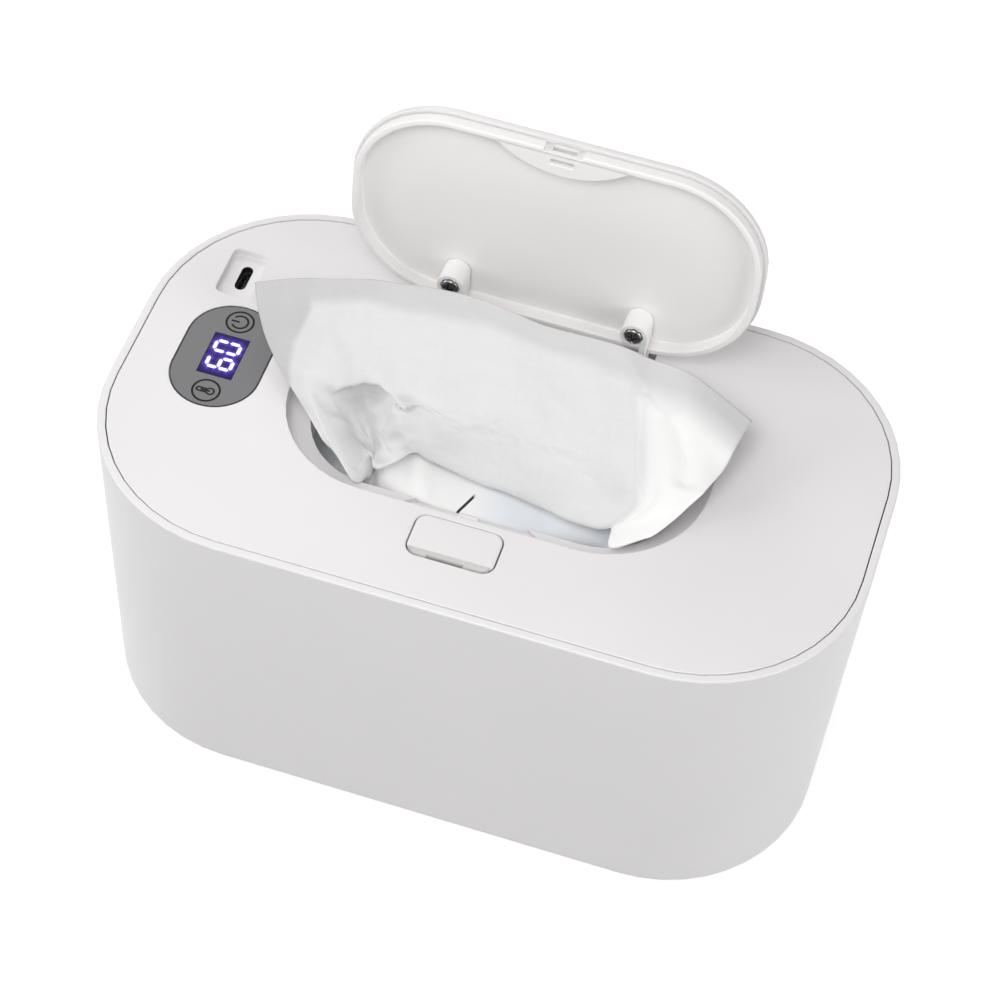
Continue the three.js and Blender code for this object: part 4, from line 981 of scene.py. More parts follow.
class WARMER_OT_button(bpy.types.Operator):
    """Latch button: a hollow cap with a sloped front and a ramp under it, and its two springs"""
    bl_idname = "warmer.button"
    bl_label = "Latch button"

    def execute(self, context):
        s = context.scene.warmer_button
        top, low, ceiling = DECK_TOP + s.proud, DECK_TOP - s.skirt, DECK_TOP - s.ceiling
        ledge = s.bevel_width + 0.5 * MM
        profile = side_profile([
            (s.wall + MM, ceiling, 0), (s.wall, ceiling, 0), (s.wall, low, 0), (0, low, 0),
            (0, top, s.edge_round), (ledge, top, 0)], steps=6)
        slope = np.linspace(profile[-2, 0], ledge, 8)[1:, None]
        profile = np.concatenate([profile[:-1], at_level(slope, top)])
        outline = rounded_outline(s.length, s.width, s.corner, 0, s.y)
        points, outward = with_stops(outline, (s.grip_left, s.grip_right))
        grid = carried((points, outward), profile.T)
        x, in_front = points[:, 0], outward[:, 1] < -0.99
        grip = (x > s.grip_left) & (x < s.grip_right) & in_front
        grid[..., 1] += s.grip_depth * (grip & (profile[:, :1] < s.grip_depth))
        edge = s.y - s.width / 2 + s.bevel_width
        bevel = np.clip((edge - grid[..., 1]) / s.bevel_width, 0, 1)
        upper = grid[..., 2] > DECK_TOP - MM
        grid[..., 2] -= s.bevel_drop * bevel * upper
        ramp = self.ramp(s)
        cap = make_piece("button_cap", together(skin(grid), ramp), "latch_button",
                         "button_white", ["latch_button"], sharp=28)
        # Painted shade: marks the slope along the front, which the finish greys
        paint(cap, grip=np.concatenate([bevel.ravel(), np.zeros(len(ramp[0]))]))
        for spring in ("latch_spring_1", "latch_spring_2"):
            low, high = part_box(spring)
            coil = make_piece(f"{spring}_coil", merged_copy(spring), "top_cover",
                              "spring_steel", [spring])
            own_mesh(coil)
        return {"FINISHED"}

    def ramp(self, s):
        """A bar at 45 degrees under the cap: a rectangle whose middle moves back as far as it
        goes down."""
        rows, corner, overlap = [], 0.2 * MM, 0.2 * MM
        for depth in (s.ramp_depth, s.ceiling - overlap):
            middle = s.ramp_y + depth - s.ramp_middle
            flat, _ = rounded_outline(s.ramp_width, s.ramp_thickness, corner, 0, middle, steps=2)
            rows.append(at_level(flat, DECK_TOP - depth))
        return skin(np.stack(rows))


def in_lid(shape, s):
    """A shape drawn in the closed lid, with depths from its outer face, and turned about the hinge
    to the open lid: the part towards the back and the part upwards change into each other by the
    sine and cosine of the angle."""
    x, y, depth = np.asarray(shape[0]).T
    y, z = y - s.hinge_y, s.hinge_drop - depth
    c, n = math.cos(s.open_angle), math.sin(s.open_angle)
    turned = [x, s.hinge_y + c * y + n * z, DECK_TOP - s.hinge_drop - n * y + c * z]
    return np.stack(turned, 1), shape[1]


class WARMER_OT_lid(bpy.types.Operator):
    """Lid: its cover, the liner with its bead, field, catch pad, slot and notch, and its arms"""
    bl_idname = "warmer.lid"
    bl_label = "Lid"

    def execute(self, context):
        s = context.scene.warmer_lid
        outline = rounded_outline(s.length, s.width, s.corner, 0, s.centre_y)
        cover = side_profile([
            (s.band_width + SPARE, s.plate, 0),
            (s.band_width, s.plate, 0),
            (s.band_width, s.band_depth, 0),
            (0, s.band_depth, s.band_round),
            (0, 0, s.edge_round),
            (s.edge_round + SPARE, 0, 0),
        ], steps=5)
        make_piece("lid_outside", in_lid(skin(carried(outline, cover.T)), s), "lid",
                   "white_shell", ["lid_cover"])
        shape = together(self.liner(s, outline), *self.catch(s))
        make_piece("lid_inside", in_lid(shape, s), "lid", "white_inner", ["lid_liner"])
        for arm in ("hinge_arm_left", "hinge_arm_right"):
            make_piece(f"{arm}_smooth", merged_copy(arm), "lid", "white_inner", [arm])
        return {"FINISHED"}

    def liner(self, s, outline):
        """The bead and field: a side profile carried round the lid. In the notch the bead is drawn
        in to the notch's depth and let down to the band."""
        low = s.band_depth + s.gap
        bead_back = s.bead_step + s.bead_width
        bead = side_profile([
            (s.band_width + s.gap + SPARE, s.plate + s.gap, 0),
            (s.band_width + s.gap, s.plate + s.gap, 0),
            (s.band_width + s.gap, low, 0),
            (s.bead_step, low, s.step_round),
            (s.bead_step, s.bead_depth, s.bead_round),
            (bead_back, s.bead_depth, s.bead_round),
            (bead_back, s.field_depth, s.field_round),
            (bead_back + s.field_round + SPARE, s.field_depth, 0),
        ], hold=0.2 * MM, steps=5)
        half = s.notch_length / 2
        points, outward = with_stops(outline, (-half, half))
        in_notch = (np.abs(points[:, 0]) < half) & (points[:, 1] < 0)
        on_bead = bead[:, 1:] > s.band_depth + s.gap / 2
        cleared = on_bead & in_notch
        share = np.cumsum(on_bead)[:, None] / on_bead.sum()
        floor, slant = s.bead_step + s.notch_depth, 0.1 * MM
        inset = np.where(cleared, floor + share * (bead_back - floor), bead[:, :1])
        depth = np.where(cleared, low - slant * share, bead[:, 1:])
        return skin(carried((points, outward), (inset, depth)))

    def catch(self, s):
        """The catch pad, a plate under a circle's arc with the slot in it, and the plate it stands
        on, which leaves a pocket for the latch's nose."""
        front = s.centre_y - s.width / 2
        chord = front + s.bead_step + s.bead_width
        radius = (s.pad_half_chord ** 2 + s.pad_sagitta ** 2) / (2 * s.pad_sagitta)
        centre = chord + s.pad_sagitta - radius
        start = chord - s.bead_width * 0.45  # the pad's ends stand in the bead
        reach = math.asin((start - centre) / radius)
        arc = on_circle(radius, np.linspace(reach, math.pi - reach, 41), 0, centre)
        slot_y = front + s.bead_step + s.notch_depth + s.lip
        slot = rounded_outline(
            s.slot_length, s.slot_width, s.pad_round, 0, slot_y + s.slot_width / 2, steps=3)
        pad = plate([(arc, outward_of(arc)), slot], s.pocket_depth, s.pad_depth, s.pad_round)
        half, back = s.slot_length / 2, slot_y + s.slot_width
        pocket = np.array([(-half, start), (-half, back), (half, back), (half, start)])
        root = np.concatenate([arc, pocket])
        root -= TRIM / 2 * outward_of(root)
        low, high = s.field_depth - s.gap, s.pocket_depth + TRIM
        return plate([(root, outward_of(root))], low, high, TRIM / 2), pad


class WARMER_OT_lid_screws(bpy.types.Operator):
    """Lid screws: turned pan heads with a cross recess. The height of a head is the square root of
    one less the fourth power of the radius"""
    bl_idname = "warmer.lid_screws"
    bl_label = "Lid screws"

    def execute(self, context):
        s = context.scene.warmer_lid
        share = np.concatenate([[1, 1], np.linspace(1, 0.02, 26)])[:, None]
        turn = np.arange(96) * 2 * np.pi / 96
        radius = share * s.screw_radius
        x, y = radius * np.cos(turn), radius * np.sin(turn)
        dome = np.sqrt(np.clip(1 - (share * 0.98) ** 4, 0, 1))
        dome[0] = 0
        near, far = np.sort([np.abs(x), np.abs(y)], axis=0)
        side_slope, end_slope = 0.12 * MM, 0.2 * MM
        cross = np.clip((s.recess_half - near) / side_slope, 0, 1)
        cross *= np.clip((s.recess_reach - far) / end_slope, 0, 1)
        depth = s.screw_low + (s.screw_high - s.screw_low) * dome - cross * s.recess_depth
        y = y + s.centre_y + s.width / 2 - s.boss_setback
        for side, way in (("left", -1), ("right", 1)):
            grid = np.stack([x + way * s.arm_x, y, depth], 2)
            # The heads take the darker copy of the steel, a painted reflection
            make_piece(f"lid_screw_head_{side}", in_lid(skin(grid), s), "lid", "dark_chrome",
                       [f"lid_screw_{side}"])
        return {"FINISHED"}


class WARMER_OT_control(bpy.types.Operator):
    """Touch control: the film, the lit display with its digits, and the two keys' symbols"""
    bl_idname = "warmer.control"
    bl_label = "Touch control"

    def execute(self, context):
        s = context.scene.warmer_control
        top = DECK_TOP - s.sink
        low = top - s.thickness
        show = 2 * s.seam
        film = rounded_outline(
            s.width - show, s.length - show, s.width / 2 - s.seam, s.x, s.y)
        window, glass = (
            rounded_outline(s.window_width - gap, s.window_length - gap, corner, s.x, s.y, steps=2)
            for gap, corner in ((0, 0.2 * MM), (s.window_gap, 0.15 * MM)))
        make_piece("control_film", plate([film, window], low, top, edge=0.1 * MM), "top_cover",
                   "grey_film", ["control_membrane"])
        pan = plate([glass], low, top - 3 * TRIM, edge=0.06 * MM)
        make_piece("display_frame", pan, "top_cover", "black_plastic", ["display_window"])
        levels = top - TRIM, top - TRIM / 5
        digits = together(self.digit(s, "acdefg", s.front_digit, levels),
                          self.digit(s, "abcdef", s.back_digit, levels))
        self.pane(s, digits[0], top - 2 * TRIM)
        make_piece("display_digits", digits, "top_cover", "digit_light")
        symbols = together(*self.symbols(s, top - TRIM / 5, top + TRIM / 2))
        make_piece("key_symbols", symbols, "top_cover", "print_ink")
        return {"FINISHED"}

    def symbols(self, s, low, high):
        """Lines on the film: a ring round each key, a broken circle with a bar for power, a
        thermometer for heat, and a painted shadow line along the film's edge, which stands in for
        the shade in the seam round the film."""
        def line(path, width=s.line, closed=False):
            return stroke(np.asarray(path), width, low, high, closed)

        def ring(y):
            turn = np.linspace(0, 2 * np.pi, 49)[:-1]
            return line(on_circle(s.ring_radius, turn, s.x, y), closed=True)

        y, reach = s.back_key_y, s.ring_radius * 0.6
        opening = 0.62  # half the angle of the circle's gap, in radians
        gapped = np.linspace(np.pi + opening, 3 * np.pi - opening, 33)
        power = [ring(y), line(on_circle(reach, gapped, s.x, y)),
                 line([(s.x - reach * 1.1, y), (s.x - reach * 0.05, y)])]
        y, stem_x, bulb_x = s.front_key_y, s.x + s.stem_x, s.x + s.bulb_x
        join = math.asin(s.stem / s.bulb)
        glass = np.concatenate([
            on_circle(s.stem, np.linspace(-np.pi / 2, -3 * np.pi / 2, 9), stem_x, y),
            on_circle(s.bulb, np.linspace(np.pi - join, -np.pi + join, 25), bulb_x, y)])
        heat = [ring(y), line(glass, s.line * 0.85, True),
                line([(stem_x + s.stem, y), (bulb_x, y)])]
        # Painted shadow of the seam: a dark line just inside the film's edge
        inset = s.seam + s.border / 2
        edge, _ = rounded_outline(
            s.width - 2 * inset, s.length - 2 * inset, s.width / 2 - inset, s.x, s.y, steps=16)
        edge = edge[np.linalg.norm(edge - np.roll(edge, 1, 0), axis=1) > TRIM]
        return *power, *heat, line(edge, s.border, True)

    def pane(self, s, lit, level):
        """The lit pane under the digits: a flat grid whose glow falls off with the distance to the
        nearest place on a digit."""
        gap, core = 0.3 * MM, 0.2 * MM
        x, y = np.meshgrid(s.x + np.linspace(-0.5, 0.5, 61) * (s.window_width - gap),
                           s.y + np.linspace(-0.5, 0.5, 91) * (s.window_length - gap))
        away = np.hypot(x[..., None] - lit[:, 0], y[..., None] - lit[:, 1]).min(2)
        grid = np.stack([x, y, np.full_like(x, level)], 2).reshape(-1, 3)
        faces = grid_faces(*x.shape, wrap=False).tolist()
        pane = make_piece("display_pane", (grid, faces), "top_cover", "display_glass",
                          outward=False)
        paint(pane, glow=np.exp(-(np.clip(away - core, 0, None) / s.glow_reach) ** 1.3))

    def digit(self, s, bars, y, levels):
        """A digit of straight bars with pointed ends, its head towards -X."""
        half = s.digit_bar / 2
        w, h = s.digit_width / 2 - half, s.digit_height / 2 - half
        ends = {"a": (-w, h, w, h), "b": (w, h, w, 0), "c": (w, 0, w, -h), "d": (-w, -h, w, -h),
                "e": (-w, -h, -w, 0), "f": (-w, 0, -w, h), "g": (-w, 0, w, 0)}
        shapes = []
        for bar in bars:
            a, b = np.reshape(ends[bar], (2, 2))
            way = (b - a) / np.linalg.norm(b - a)
            a, b = a + way * s.digit_gap, b - way * s.digit_gap
            side, point = np.array([-way[1], way[0]]) * half, way * half
            ring = np.array([a, a + point - side, b - point - side, b, b - point + side,
                             a + point + side])
            flat = np.stack([s.x - ring[:, 1], s.y + y + ring[:, 0]], 1)
            shapes.append(skin(np.stack([at_level(flat, level) for level in levels])))
        return together(*shapes)


class WARMER_OT_packet(bpy.types.Operator):
    """Packet of wipes: a creased pillow of film with an open slit on its crown. Its sides swell by a
    power of a sine of the height. Its crown rises from the edge to the slit as one less a power of
    the share left to go"""
    bl_idname = "warmer.packet"
    bl_label = "Packet of wipes"

    def execute(self, context):
        s = context.scene.warmer_packet
        outline = rounded_outline(s.length, s.width, s.corner, steps=18)
        rise = s.height - s.crown
        share = np.linspace(0, 1, 22)
        swell = np.sin(np.pi * (share * 0.94 + 0.03)) ** 0.45
        side = carried(outline, (s.bulge * (1 - swell), s.base + share * rise))
        slit, slit_out = rounded_outline(
            s.slit_length, s.slit_width, s.slit_width / 2, s.slit_x, s.slit_y, steps=18)
        blend = np.linspace(0, 1, 60)[1:]
        edge = side[-1, :, :2]
        flat = edge[None] + (slit - edge)[None] * blend[:, None, None]
        level = s.base + rise + s.crown * (1 - (1 - blend) ** 2.6)
        crown = np.concatenate([flat, np.repeat(level[:, None, None], flat.shape[1], 1)], 2)
        crease = waves(crown[..., 0], crown[..., 1] * 1.6, 4, longest=22 * MM)
        fade = np.clip(np.sin(np.pi * blend), 0, 1)[:, None] ** 0.6
        crown[..., 2] += (s.crinkle * crease - s.sag) * fade
        inside = at_level(slit - s.slit_inset * slit_out, level[-1] - s.slit_depth)
        grid = np.concatenate([side, crown, inside[None]])
        make_piece("packet_film", skin(grid), "base", "packet", ["wipe_packet"], sharp=70)
        return {"FINISHED"}


# Places on the wipe in millimetres, in rows from its free edge at the top, over the edge where it
# turns under, forward again over a shelf, and down into the packet's slit. Each row runs from the
# left side to the right.
WIPE_PLACES = np.array([
    [(-75, 16, 117), (-66.4, 16, 121.5), (-59.4, 16, 124.5), (-52.4, 16, 126.8),
     (-46.8, 16, 128.9), (-40.3, 15.5, 131.5), (-33.6, 15.2, 132.8), (-25.9, 15, 134.7),
     (-14.8, 14.5, 136), (-5.1, 14, 135.6), (5, 13.5, 133.8), (17, 13.5, 133.8),
     (26.9, 13.5, 133.8), (34.7, 14, 131.4), (46.3, 15, 128.4), (63.3, 17, 114.7)],
    [(-71.6, 10, 112.6), (-62.6, 9.5, 117.4), (-55.7, 9, 120.9), (-49, 9, 123.5),
     (-43.5, 9, 125.6), (-37.4, 9, 127.2), (-30.5, 9, 127.9), (-23.1, 9, 129.2),
     (-11.5, 8.5, 130.7), (-1.7, 8, 130), (8.7, 8, 128.2), (20.4, 8, 127.7), (30.3, 7, 128.8),
     (38.1, 8, 126.5), (48.3, 8.5, 123.3), (61.6, 8, 114.4)],
    [(-66.9, 4, 108.7), (-59.3, 3.5, 112.6), (-52.2, 2.5, 116.4), (-45.9, 2, 119),
     (-40.9, 2, 120.6), (-35.4, 2, 121.9), (-28.8, 2, 122.6), (-20.5, 2, 123.1),
     (-8.4, 1.5, 124.1), (1.6, 1, 123.9), (12.1, 1, 122.5), (23.6, 1, 121.1), (34.1, -0.5, 122.7),
     (41.2, 1, 120.7), (49.5, 2, 118.2), (60.1, 2, 110.7)],
    [(-60.3, -3, 107.4), (-54, -5, 112.1), (-48.2, -5.5, 112.5), (-43.1, -5, 111.2),
     (-38.4, -5, 114.3), (-32.9, -5, 116.5), (-26.6, -5.5, 115.6), (-18.5, -5, 114.7),
     (-5, -6, 116.4), (5, -6.5, 116.6), (15.1, -6.5, 116), (26.2, -7, 115), (37.5, -8.5, 116.6),
     (43.7, -6, 115.1), (50, -5.5, 113.1), (57.9, -5, 110.5)],
    [(-56.1, -7, 106.6), (-50.6, -9, 108.9), (-45.6, -8, 105.8), (-41.8, -5, 102.4),
     (-37.5, -3.5, 102.4), (-32.2, -4.5, 106.5), (-25.3, -11, 114.9), (-17, -9, 111.2),
     (-3.8, -9, 111.8), (6.2, -9.5, 112), (16.7, -10, 111.7), (27.8, -10.5, 110.7),
     (38.5, -12.5, 113), (44.5, -9.5, 111.3), (49.3, -10, 110.6), (56.5, -8.5, 109.9)],
    [(-51, -11, 104.5), (-46.2, -14, 105.6), (-41.2, -14, 102.8), (-37.6, -9.5, 96.7),
     (-32.7, -8, 94.9), (-28.9, -10.5, 101.4), (-23, -14, 109.1), (-15.9, -11.6, 105.6),
     (-3.1, -12, 105.6), (7, -12.8, 106.3), (18.3, -13.8, 106.4), (29.5, -14.6, 105.4),
     (39, -16, 106.6), (43.3, -13.5, 105.5), (46.4, -15, 105.3), (53.5, -12, 106.9)],
    [(-42.8, -18, 101.7), (-37.2, -22, 100.3), (-32, -25, 98.5), (-31, -15, 98.6),
     (-28.2, -20, 100.1), (-23.5, -17.5, 101.3), (-19.7, -14, 102.6), (-15.1, -12.5, 99.1),
     (-3.3, -14.6, 98.6), (6.5, -15.9, 99.2), (14.6, -17, 98.5), (24.5, -18.8, 98.6),
     (32.8, -19.6, 99.8), (36.5, -18.5, 100.1), (38.5, -24.5, 100.2), (47.5, -20, 103)],
    [(-41.3, -12, 96.7), (-35.7, -16, 95.3), (-30.5, -19, 93.5), (-30.5, -12, 93.1),
     (-28.2, -14.5, 96.5), (-23.5, -12, 97.7), (-19.7, -8.5, 99), (-15.1, -7, 95.5),
     (-3.3, -9.1, 95), (6.5, -10.4, 95.6), (14.6, -11.5, 94.9), (24.5, -13.3, 95),
     (32.8, -14.1, 96.2), (36.5, -13, 96.5), (38.5, -19, 96.6), (47.5, -14.5, 99.4)],
    [(-41, -12, 92), (-37, -14.5, 89), (-31, -16.5, 87), (-27, -18, 86.6), (-23.5, -20, 88.6),
     (-18.5, -21.8, 92.2), (-13, -22.6, 93.6), (-8, -22.6, 93.6), (0, -22.6, 93.6),
     (8, -22.5, 93.2), (15, -21.6, 91.6), (23, -19.4, 89.6), (30, -17.6, 87.4), (34, -17, 86.4),
     (37, -17.4, 87.6), (43, -14, 93)],
    [(-15.5, 1.4, 84), (-13, 4.2, 84), (-10.4, 1.4, 84), (-7.8, 4.2, 84), (-5.2, 1.4, 84),
     (-2.6, 4.2, 84), (0, 1.4, 84), (2.6, 4.2, 84), (5.2, 1.4, 84), (7.8, 4.2, 84), (10.4, 1.4, 84),
     (13, 4.2, 84), (15.6, 1.4, 84), (18.2, 4.2, 84), (20.8, 1.4, 84), (23.4, 4.2, 84)],
    [(-14.5, 3.5, 76.8), (-12.1, 2.2, 76.8), (-9.6, 3.8, 76.8), (-7.2, 2, 76.8), (-4.8, 4, 76.8),
     (-2.3, 2.2, 76.8), (0.1, 4, 76.8), (2.5, 2, 76.8), (5, 4, 76.8), (7.4, 2, 76.8),
     (9.8, 4, 76.8), (12.3, 2.2, 76.8), (14.7, 4, 76.8), (17.1, 2, 76.8), (19.6, 3.6, 76.8),
     (22, 2.4, 76.8)],
])
WIPE_LAST = np.array(WIPE_PLACES.shape[1::-1]) - 1  # the last column and row
WIPE_TURN_ROW = 6  # the row at the edge where it turns under
WIPE_SHELF_ROW = 8

# Creases of the wipe: height and width in millimetres, and the path as (column, row) of the places.
# A lip is a step that stands up at its left; a fold is a ridge, or a valley where it is negative.
LIPS = [
    (2.4, 5.5, [(2.25, 3.8), (2.9, 3.25), (3.65, 3.15), (4.4, 3.1), (5.05, 3.15), (5.5, 3.35),
                (5.95, 3.8), (5.55, 4.4), (4.9, 4.8), (4.15, 5)]),
    (1.0, 10, [(12.85, 1.05), (12.45, 1.35), (12.2, 2.2), (12.15, 3.35), (12.95, 4.85)]),
]
FOLDS = [
    (1.2, 3.4, [(6.1, 3.85), (6, 4.55), (5.5, 5.1), (4.95, 5.4)]),
    (0.8, 2.6, [(1.6, 4.75), (2.7, 4.65), (3.35, 4.75), (3.95, 4.95)]),
    (-0.6, 2.2, [(3.45, 5.3), (2.55, 5.8), (2.25, 5.85)]),
    (0.6, 2.8, [(4.2, 5.35), (5.2, 5.5), (5.95, 5.45), (6.5, 4.8)]),
    (-1.3, 4.5, [(13.35, 1.35), (13.7, 1.9), (14.1, 2.55), (14.25, 3.9)]),
    (0.4, 4, [(7.15, 4.7), (7.8, 3.5), (8.9, 2.75), (10.05, 2.5)]),
    (-0.5, 6, [(8.7, 1.65), (10.05, 1.25), (11.2, 1.15), (11.35, 1.65), (10.95, 2.55), (10, 3.95)]),
    (0.35, 3, [(9.65, 3.45), (10.7, 3.3), (11.75, 2.75)]),
    (0.35, 3, [(9.9, 1.8), (10.3, 2.25), (10.9, 2.4)]),
    (0.8, 6, [(2.6, 1.3), (3.65, 2.05), (4.9, 2.9)]),
    (-0.4, 4, [(5.75, 0.55), (7.2, 0.85), (8.4, 0.55)]),
    (0.35, 2.5, [(5.85, 3.45), (6.55, 4.45), (7.05, 5.4)]),
]
# Painted shadow: a short black line drawn on the shelf, where a narrow gap would lie in shade
PAINTED_SHADOW_LINE = [(8.09, 7.46), (7.52, 7.96)]  # ends of a short dark line, as (column, row)


class WARMER_OT_wipe(bpy.types.Operator):
    """Wipe: a smooth surface through rows of places, with soft folds and a crumpled gather, given
    its thickness"""
    bl_idname = "warmer.wipe"
    bl_label = "Wipe"

    def execute(self, context):
        s = context.scene.warmer_wipe
        grid = cubic_grid(WIPE_PLACES * MM, s.rows, s.columns)
        across, down = np.meshgrid(np.linspace(0, 1, s.columns), np.linspace(0, 1, s.rows))
        u, v = across * s.flat_width, down * s.flat_length
        column, row = across * WIPE_LAST[0], down * WIPE_LAST[1]
        grid = grid + self.creases(s, grid, u, v, column, row)
        faces = grid_faces(s.rows, s.columns, wrap=False).tolist()
        piece = make_piece("pulled_wipe", (grid.reshape(-1, 3), faces), "top_cover", "cloth",
                           ["wipe_sheet"], sharp=180, outward=False)
        layer = piece.data.uv_layers.new(name="cloth")
        index = np.empty(len(piece.data.loops), np.int32)
        piece.data.loops.foreach_get("vertex_index", index)
        uv = np.stack([u.ravel(), v.ravel()], 1)[index]
        layer.data.foreach_set("uv", uv.astype(np.float32).ravel())

        # Single cloth runs along the top and down the left side, to the column given for each row.
        # Painted light makes the right flap and the part under the turn lighter, and the cloth is
        # damp at the right from just above the shelf down.
        wobble = 0.12 * waves(u, v, 31, longest=60 * MM)
        left_end = np.interp(row, range(6), (2.6, 2.1, 1.1, 0.55, 0.2, 0))
        top = step((1.05 - row + wobble) / 0.5) * (1 - 0.04 * column)
        left = step((left_end - column + wobble) / 0.4)
        flap = step((column - 12.1) / 0.6) * step((row - 0.9) / 0.8)
        under = step((row - WIPE_TURN_ROW - 0.6) / 0.4)
        damp = step((row - WIPE_SHELF_ROW + 0.9) / 0.3) * step((column - 7.8) / 1.2)
        paint(piece, single_layer=np.maximum(top, left), double_layer=np.maximum(flap, under),
              damp=damp)
        solidify = piece.modifiers.new("thickness", "SOLIDIFY")
        solidify.thickness = s.thickness
        solidify.offset = 0
        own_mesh(piece)
        return {"FINISHED"}

    def creases(self, s, grid, u, v, column, row):
        """How far each place moves along the surface's normal: soft waves everywhere, crumples in
        the gather, fine creases in the middle, and the lips and folds above the turned edge. A lip
        rises on one side of its path and sinks on the other, by a hyperbolic tangent of the
        distance times a falling exponential. A fold is a falling exponential of the distance,
        rounded near its path."""
        square = np.cross(np.gradient(grid, axis=0), np.gradient(grid, axis=1))
        square /= np.linalg.norm(square, axis=2, keepdims=True)
        down = row / WIPE_LAST[1]
        gather = np.exp(-((column - 4.2) / 2.2) ** 2 - ((row - 4.6) / 1.2) ** 2)
        middle = np.exp(-((column - 9.3) / 2.6) ** 2 - ((row - 3.2) / 1.6) ** 2)
        soft = waves(u, v * 0.7, 11, longest=38 * MM)
        crumple = 1 - 2.4 * np.abs(waves(u, v, 5, longest=17 * MM))
        fine = 1 - 2.2 * np.abs(waves(u + v * 0.4, v, 23, longest=12 * MM))
        calm = np.clip(down / 0.06, 0, 1) * np.clip((1 - down) / 0.08, 0, 1)
        move = calm * (s.fold * soft + s.crumple * gather * crumple + s.crease * middle * fine)
        outer = step((WIPE_TURN_ROW + 0.5 - row) / 0.4)
        size = np.array([s.columns - 1, s.rows - 1])
        sharpness, end_share = 0.4 * MM, 0.15
        for k, (height, width, places) in enumerate(LIPS + FOLDS):
            spots = np.rint(np.array(places) / WIPE_LAST * size).astype(int)
            far, side, along = near_path(grid, square, spots)
            width = width * MM
            if k < len(LIPS):
                rise = side * np.tanh(far / sharpness) * np.exp(-far / width) / 2
            else:
                rise = np.exp(-2 * (np.hypot(far, width / 4) - width / 4) / width)
            ends = step(along / end_share) * step((1 - along) / end_share)
            move += outer * ends * rise * height * MM
        return square * move[..., None]


# Lamps in metres: name, place and diameter, and the place that they all face
LAMPS = [
    ("key", (-0.35, -0.7, 1.1), 0.9),
    ("left", (-1.15, -0.4, 0.6), 0.8),
    ("right", (1.15, -0.5, 0.5), 0.8),
    ("back", (-0.6, 1.1, 0.9), 0.8),
    ("near", (0.0, -0.28, 0.55), 0.25),
]
LAMPS_AIM = (0, 0, 0.08)


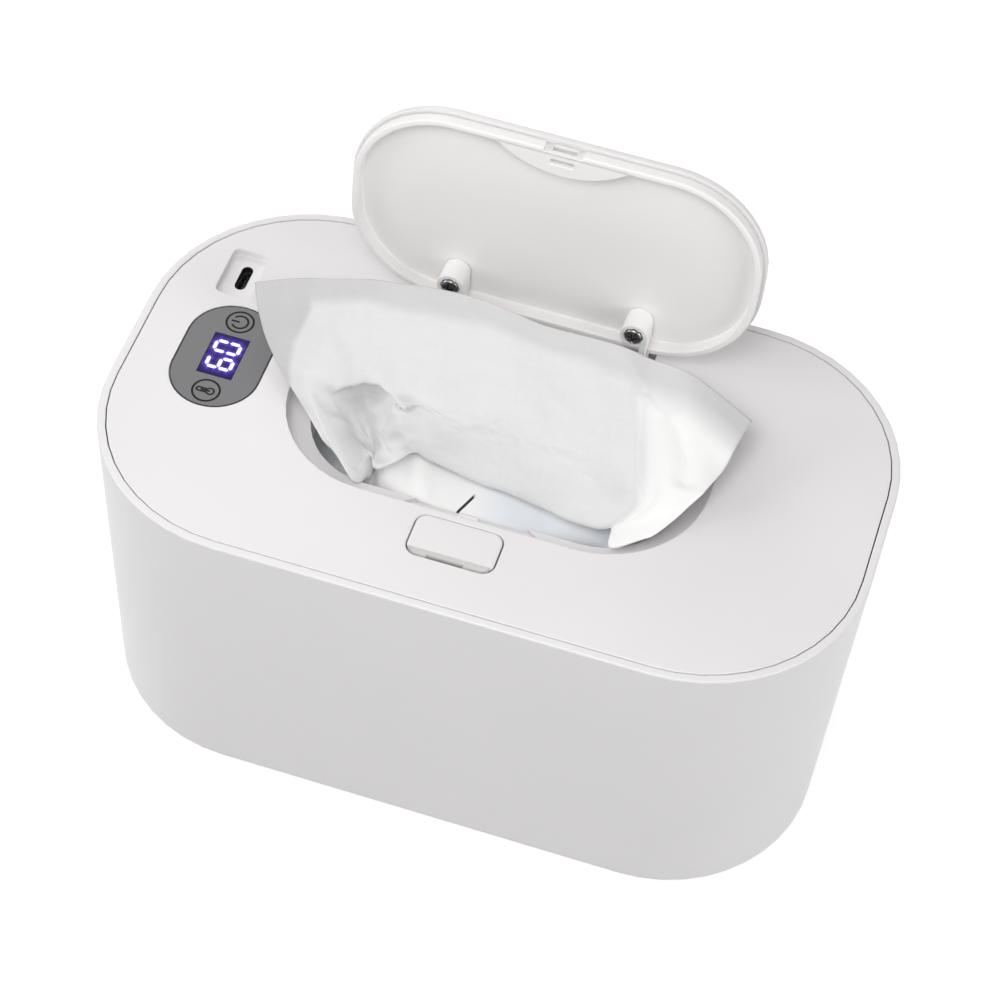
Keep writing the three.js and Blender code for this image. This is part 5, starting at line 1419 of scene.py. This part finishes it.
class WARMER_OT_stage(bpy.types.Operator):
    """Stage: camera, floor, lamps and even light"""
    bl_idname = "warmer.stage"
    bl_label = "Stage"

    def execute(self, context):
        s = context.scene.warmer_stage
        self.camera(context.scene, s)
        self.floor(context.scene, s)
        self.light(context.scene, s)
        context.scene.view_settings.view_transform = "Standard"
        return {"FINISHED"}

    def camera(self, scene, s):
        """The camera looks back along its azimuth and elevation, then rolls about its axis."""
        a, e, r = s.azimuth, s.elevation, s.roll
        back = np.array([math.sin(a) * math.cos(e), -math.cos(a) * math.cos(e), math.sin(e)])
        right = np.array([math.cos(a), math.sin(a), 0])
        up = np.cross(back, right)
        turned = right * math.cos(r) + up * math.sin(r)
        upright = up * math.cos(r) - right * math.sin(r)
        place = np.array([s.target_x, s.target_y, s.target_z]) + back * s.distance
        matrix = np.eye(4)
        matrix[:3, :4] = np.stack([turned, upright, back, place], 1)
        data = bpy.data.cameras.new("camera")
        data.sensor_width = s.sensor
        data.lens = s.lens
        data.clip_end = 50
        camera = bpy.data.objects.new("camera", data)
        camera.matrix_world = Matrix(matrix.tolist())
        scene.collection.objects.link(camera)
        scene.camera = camera

    def floor(self, scene, s):
        """A flat square, white to the camera where it is lit and darker where it is shaded."""
        mesh = bpy.data.meshes.new("floor")
        corners = np.array([(-1, -1, 0), (1, -1, 0), (1, 1, 0), (-1, 1, 0)]) * s.floor_size / 2
        mesh.from_pydata(corners.tolist(), [], [(0, 1, 2, 3)])
        floor = bpy.data.objects.new("floor", mesh)
        scene.collection.objects.link(floor)
        material = bpy.data.materials.new("floor")
        material.use_nodes = True
        tree = material.node_tree
        surface = tree.nodes["Principled BSDF"]
        place = add(tree, "ShaderNodeTexCoord").outputs["Object"]
        sockets = {"Base Color": mapped(tree, noise(tree, place, 30, 2), (0, 1), (0.44, 0.46)),
                   "Roughness": 1, "Specular IOR Level": 0}
        for label, value in sockets.items():
            put(tree, surface.inputs[label], value)
        away = add(tree, "ShaderNodeVectorMath", {0: place}, operation="LENGTH").outputs["Value"]
        reach = s.lit_reach, 2 * s.lit_reach
        glow = add(tree, "ShaderNodeEmission", {
            "Color": (1, 1, 1, 1), "Strength": mapped(tree, away, reach, (s.floor_glow, 1))})
        lit = add(tree, "ShaderNodeAddShader", {0: surface.outputs[0], 1: glow.outputs[0]})
        seen = ray_mask(tree, "Is Camera Ray", "Is Glossy Ray")
        choice = add(tree, "ShaderNodeMixShader", {
            0: seen, 1: surface.outputs[0], 2: lit.outputs[0]})
        put(tree, tree.nodes["Material Output"].inputs["Surface"], choice.outputs[0])
        mesh.materials.append(material)

    def light(self, scene, s):
        """Four large lamps, a small one over the opening, and a world that is white to the
        camera and even elsewhere."""
        for name, place, size in LAMPS:
            data = bpy.data.lights.new(f"{name}_lamp", "AREA")
            data.energy = getattr(s, name)
            data.shape = "DISK"
            data.size = size
            lamp = bpy.data.objects.new(f"{name}_lamp", data)
            lamp.location = place
            lamp.rotation_mode = "QUATERNION"
            toward = Vector(LAMPS_AIM) - Vector(place)
            lamp.rotation_quaternion = toward.to_track_quat("-Z", "Y")
            scene.collection.objects.link(lamp)
        world = bpy.data.worlds.new("even_light")
        world.use_nodes = True
        tree = world.node_tree
        even = tree.nodes["Background"]
        white = add(tree, "ShaderNodeBackground", {"Color": (1, 1, 1, 1), "Strength": 1})
        put(tree, even.inputs["Color"], (1, 1, 1, 1))
        put(tree, even.inputs["Strength"], s.world)
        seen = ray_mask(tree, "Is Camera Ray", "Is Glossy Ray", "Is Transmission Ray")
        choice = add(tree, "ShaderNodeMixShader", {
            0: seen, 1: even.outputs[0], 2: white.outputs[0]})
        put(tree, tree.nodes["World Output"].inputs["Surface"], choice.outputs[0])
        scene.world = world


class WARMER_PT_panel(bpy.types.Panel):
    """Lists the operators that build the wipe warmer"""
    bl_idname = "WARMER_PT_panel"
    bl_label = "Wipe Warmer"
    bl_space_type = "VIEW_3D"
    bl_region_type = "UI"
    bl_category = "Wipe Warmer"

    def draw(self, context):
        for operator in OPERATORS:
            self.layout.operator(operator.bl_idname)


GROUPS = {
    "warmer_tub": TubSizes, "warmer_cover": CoverSizes, "warmer_button": ButtonSizes,
    "warmer_inlet": InletSizes, "warmer_lid": LidSizes, "warmer_control": ControlSizes,
    "warmer_packet": PacketSizes, "warmer_wipe": WipeSizes, "warmer_finish": FinishValues,
    "warmer_stage": StageValues,
}
OPERATORS = [
    WARMER_OT_stage, WARMER_OT_finishes, WARMER_OT_tub, WARMER_OT_cover, WARMER_OT_inlet,
    WARMER_OT_button, WARMER_OT_lid, WARMER_OT_lid_screws, WARMER_OT_control, WARMER_OT_packet,
    WARMER_OT_wipe,
]


def register():
    for group in [*GROUPS.values(), *OPERATORS, WARMER_PT_panel]:
        bpy.utils.register_class(group)
    for name, group in GROUPS.items():
        setattr(bpy.types.Scene, name, PointerProperty(type=group))


def unregister():
    for name in GROUPS:
        delattr(bpy.types.Scene, name)
    for group in [WARMER_PT_panel, *reversed(OPERATORS), *reversed(GROUPS.values())]:
        bpy.utils.unregister_class(group)


def main():
    register()
    for operator in OPERATORS:
        group, name = operator.bl_idname.split(".")
        getattr(getattr(bpy.ops, group), name)()


if __name__ == "__main__":
    main()
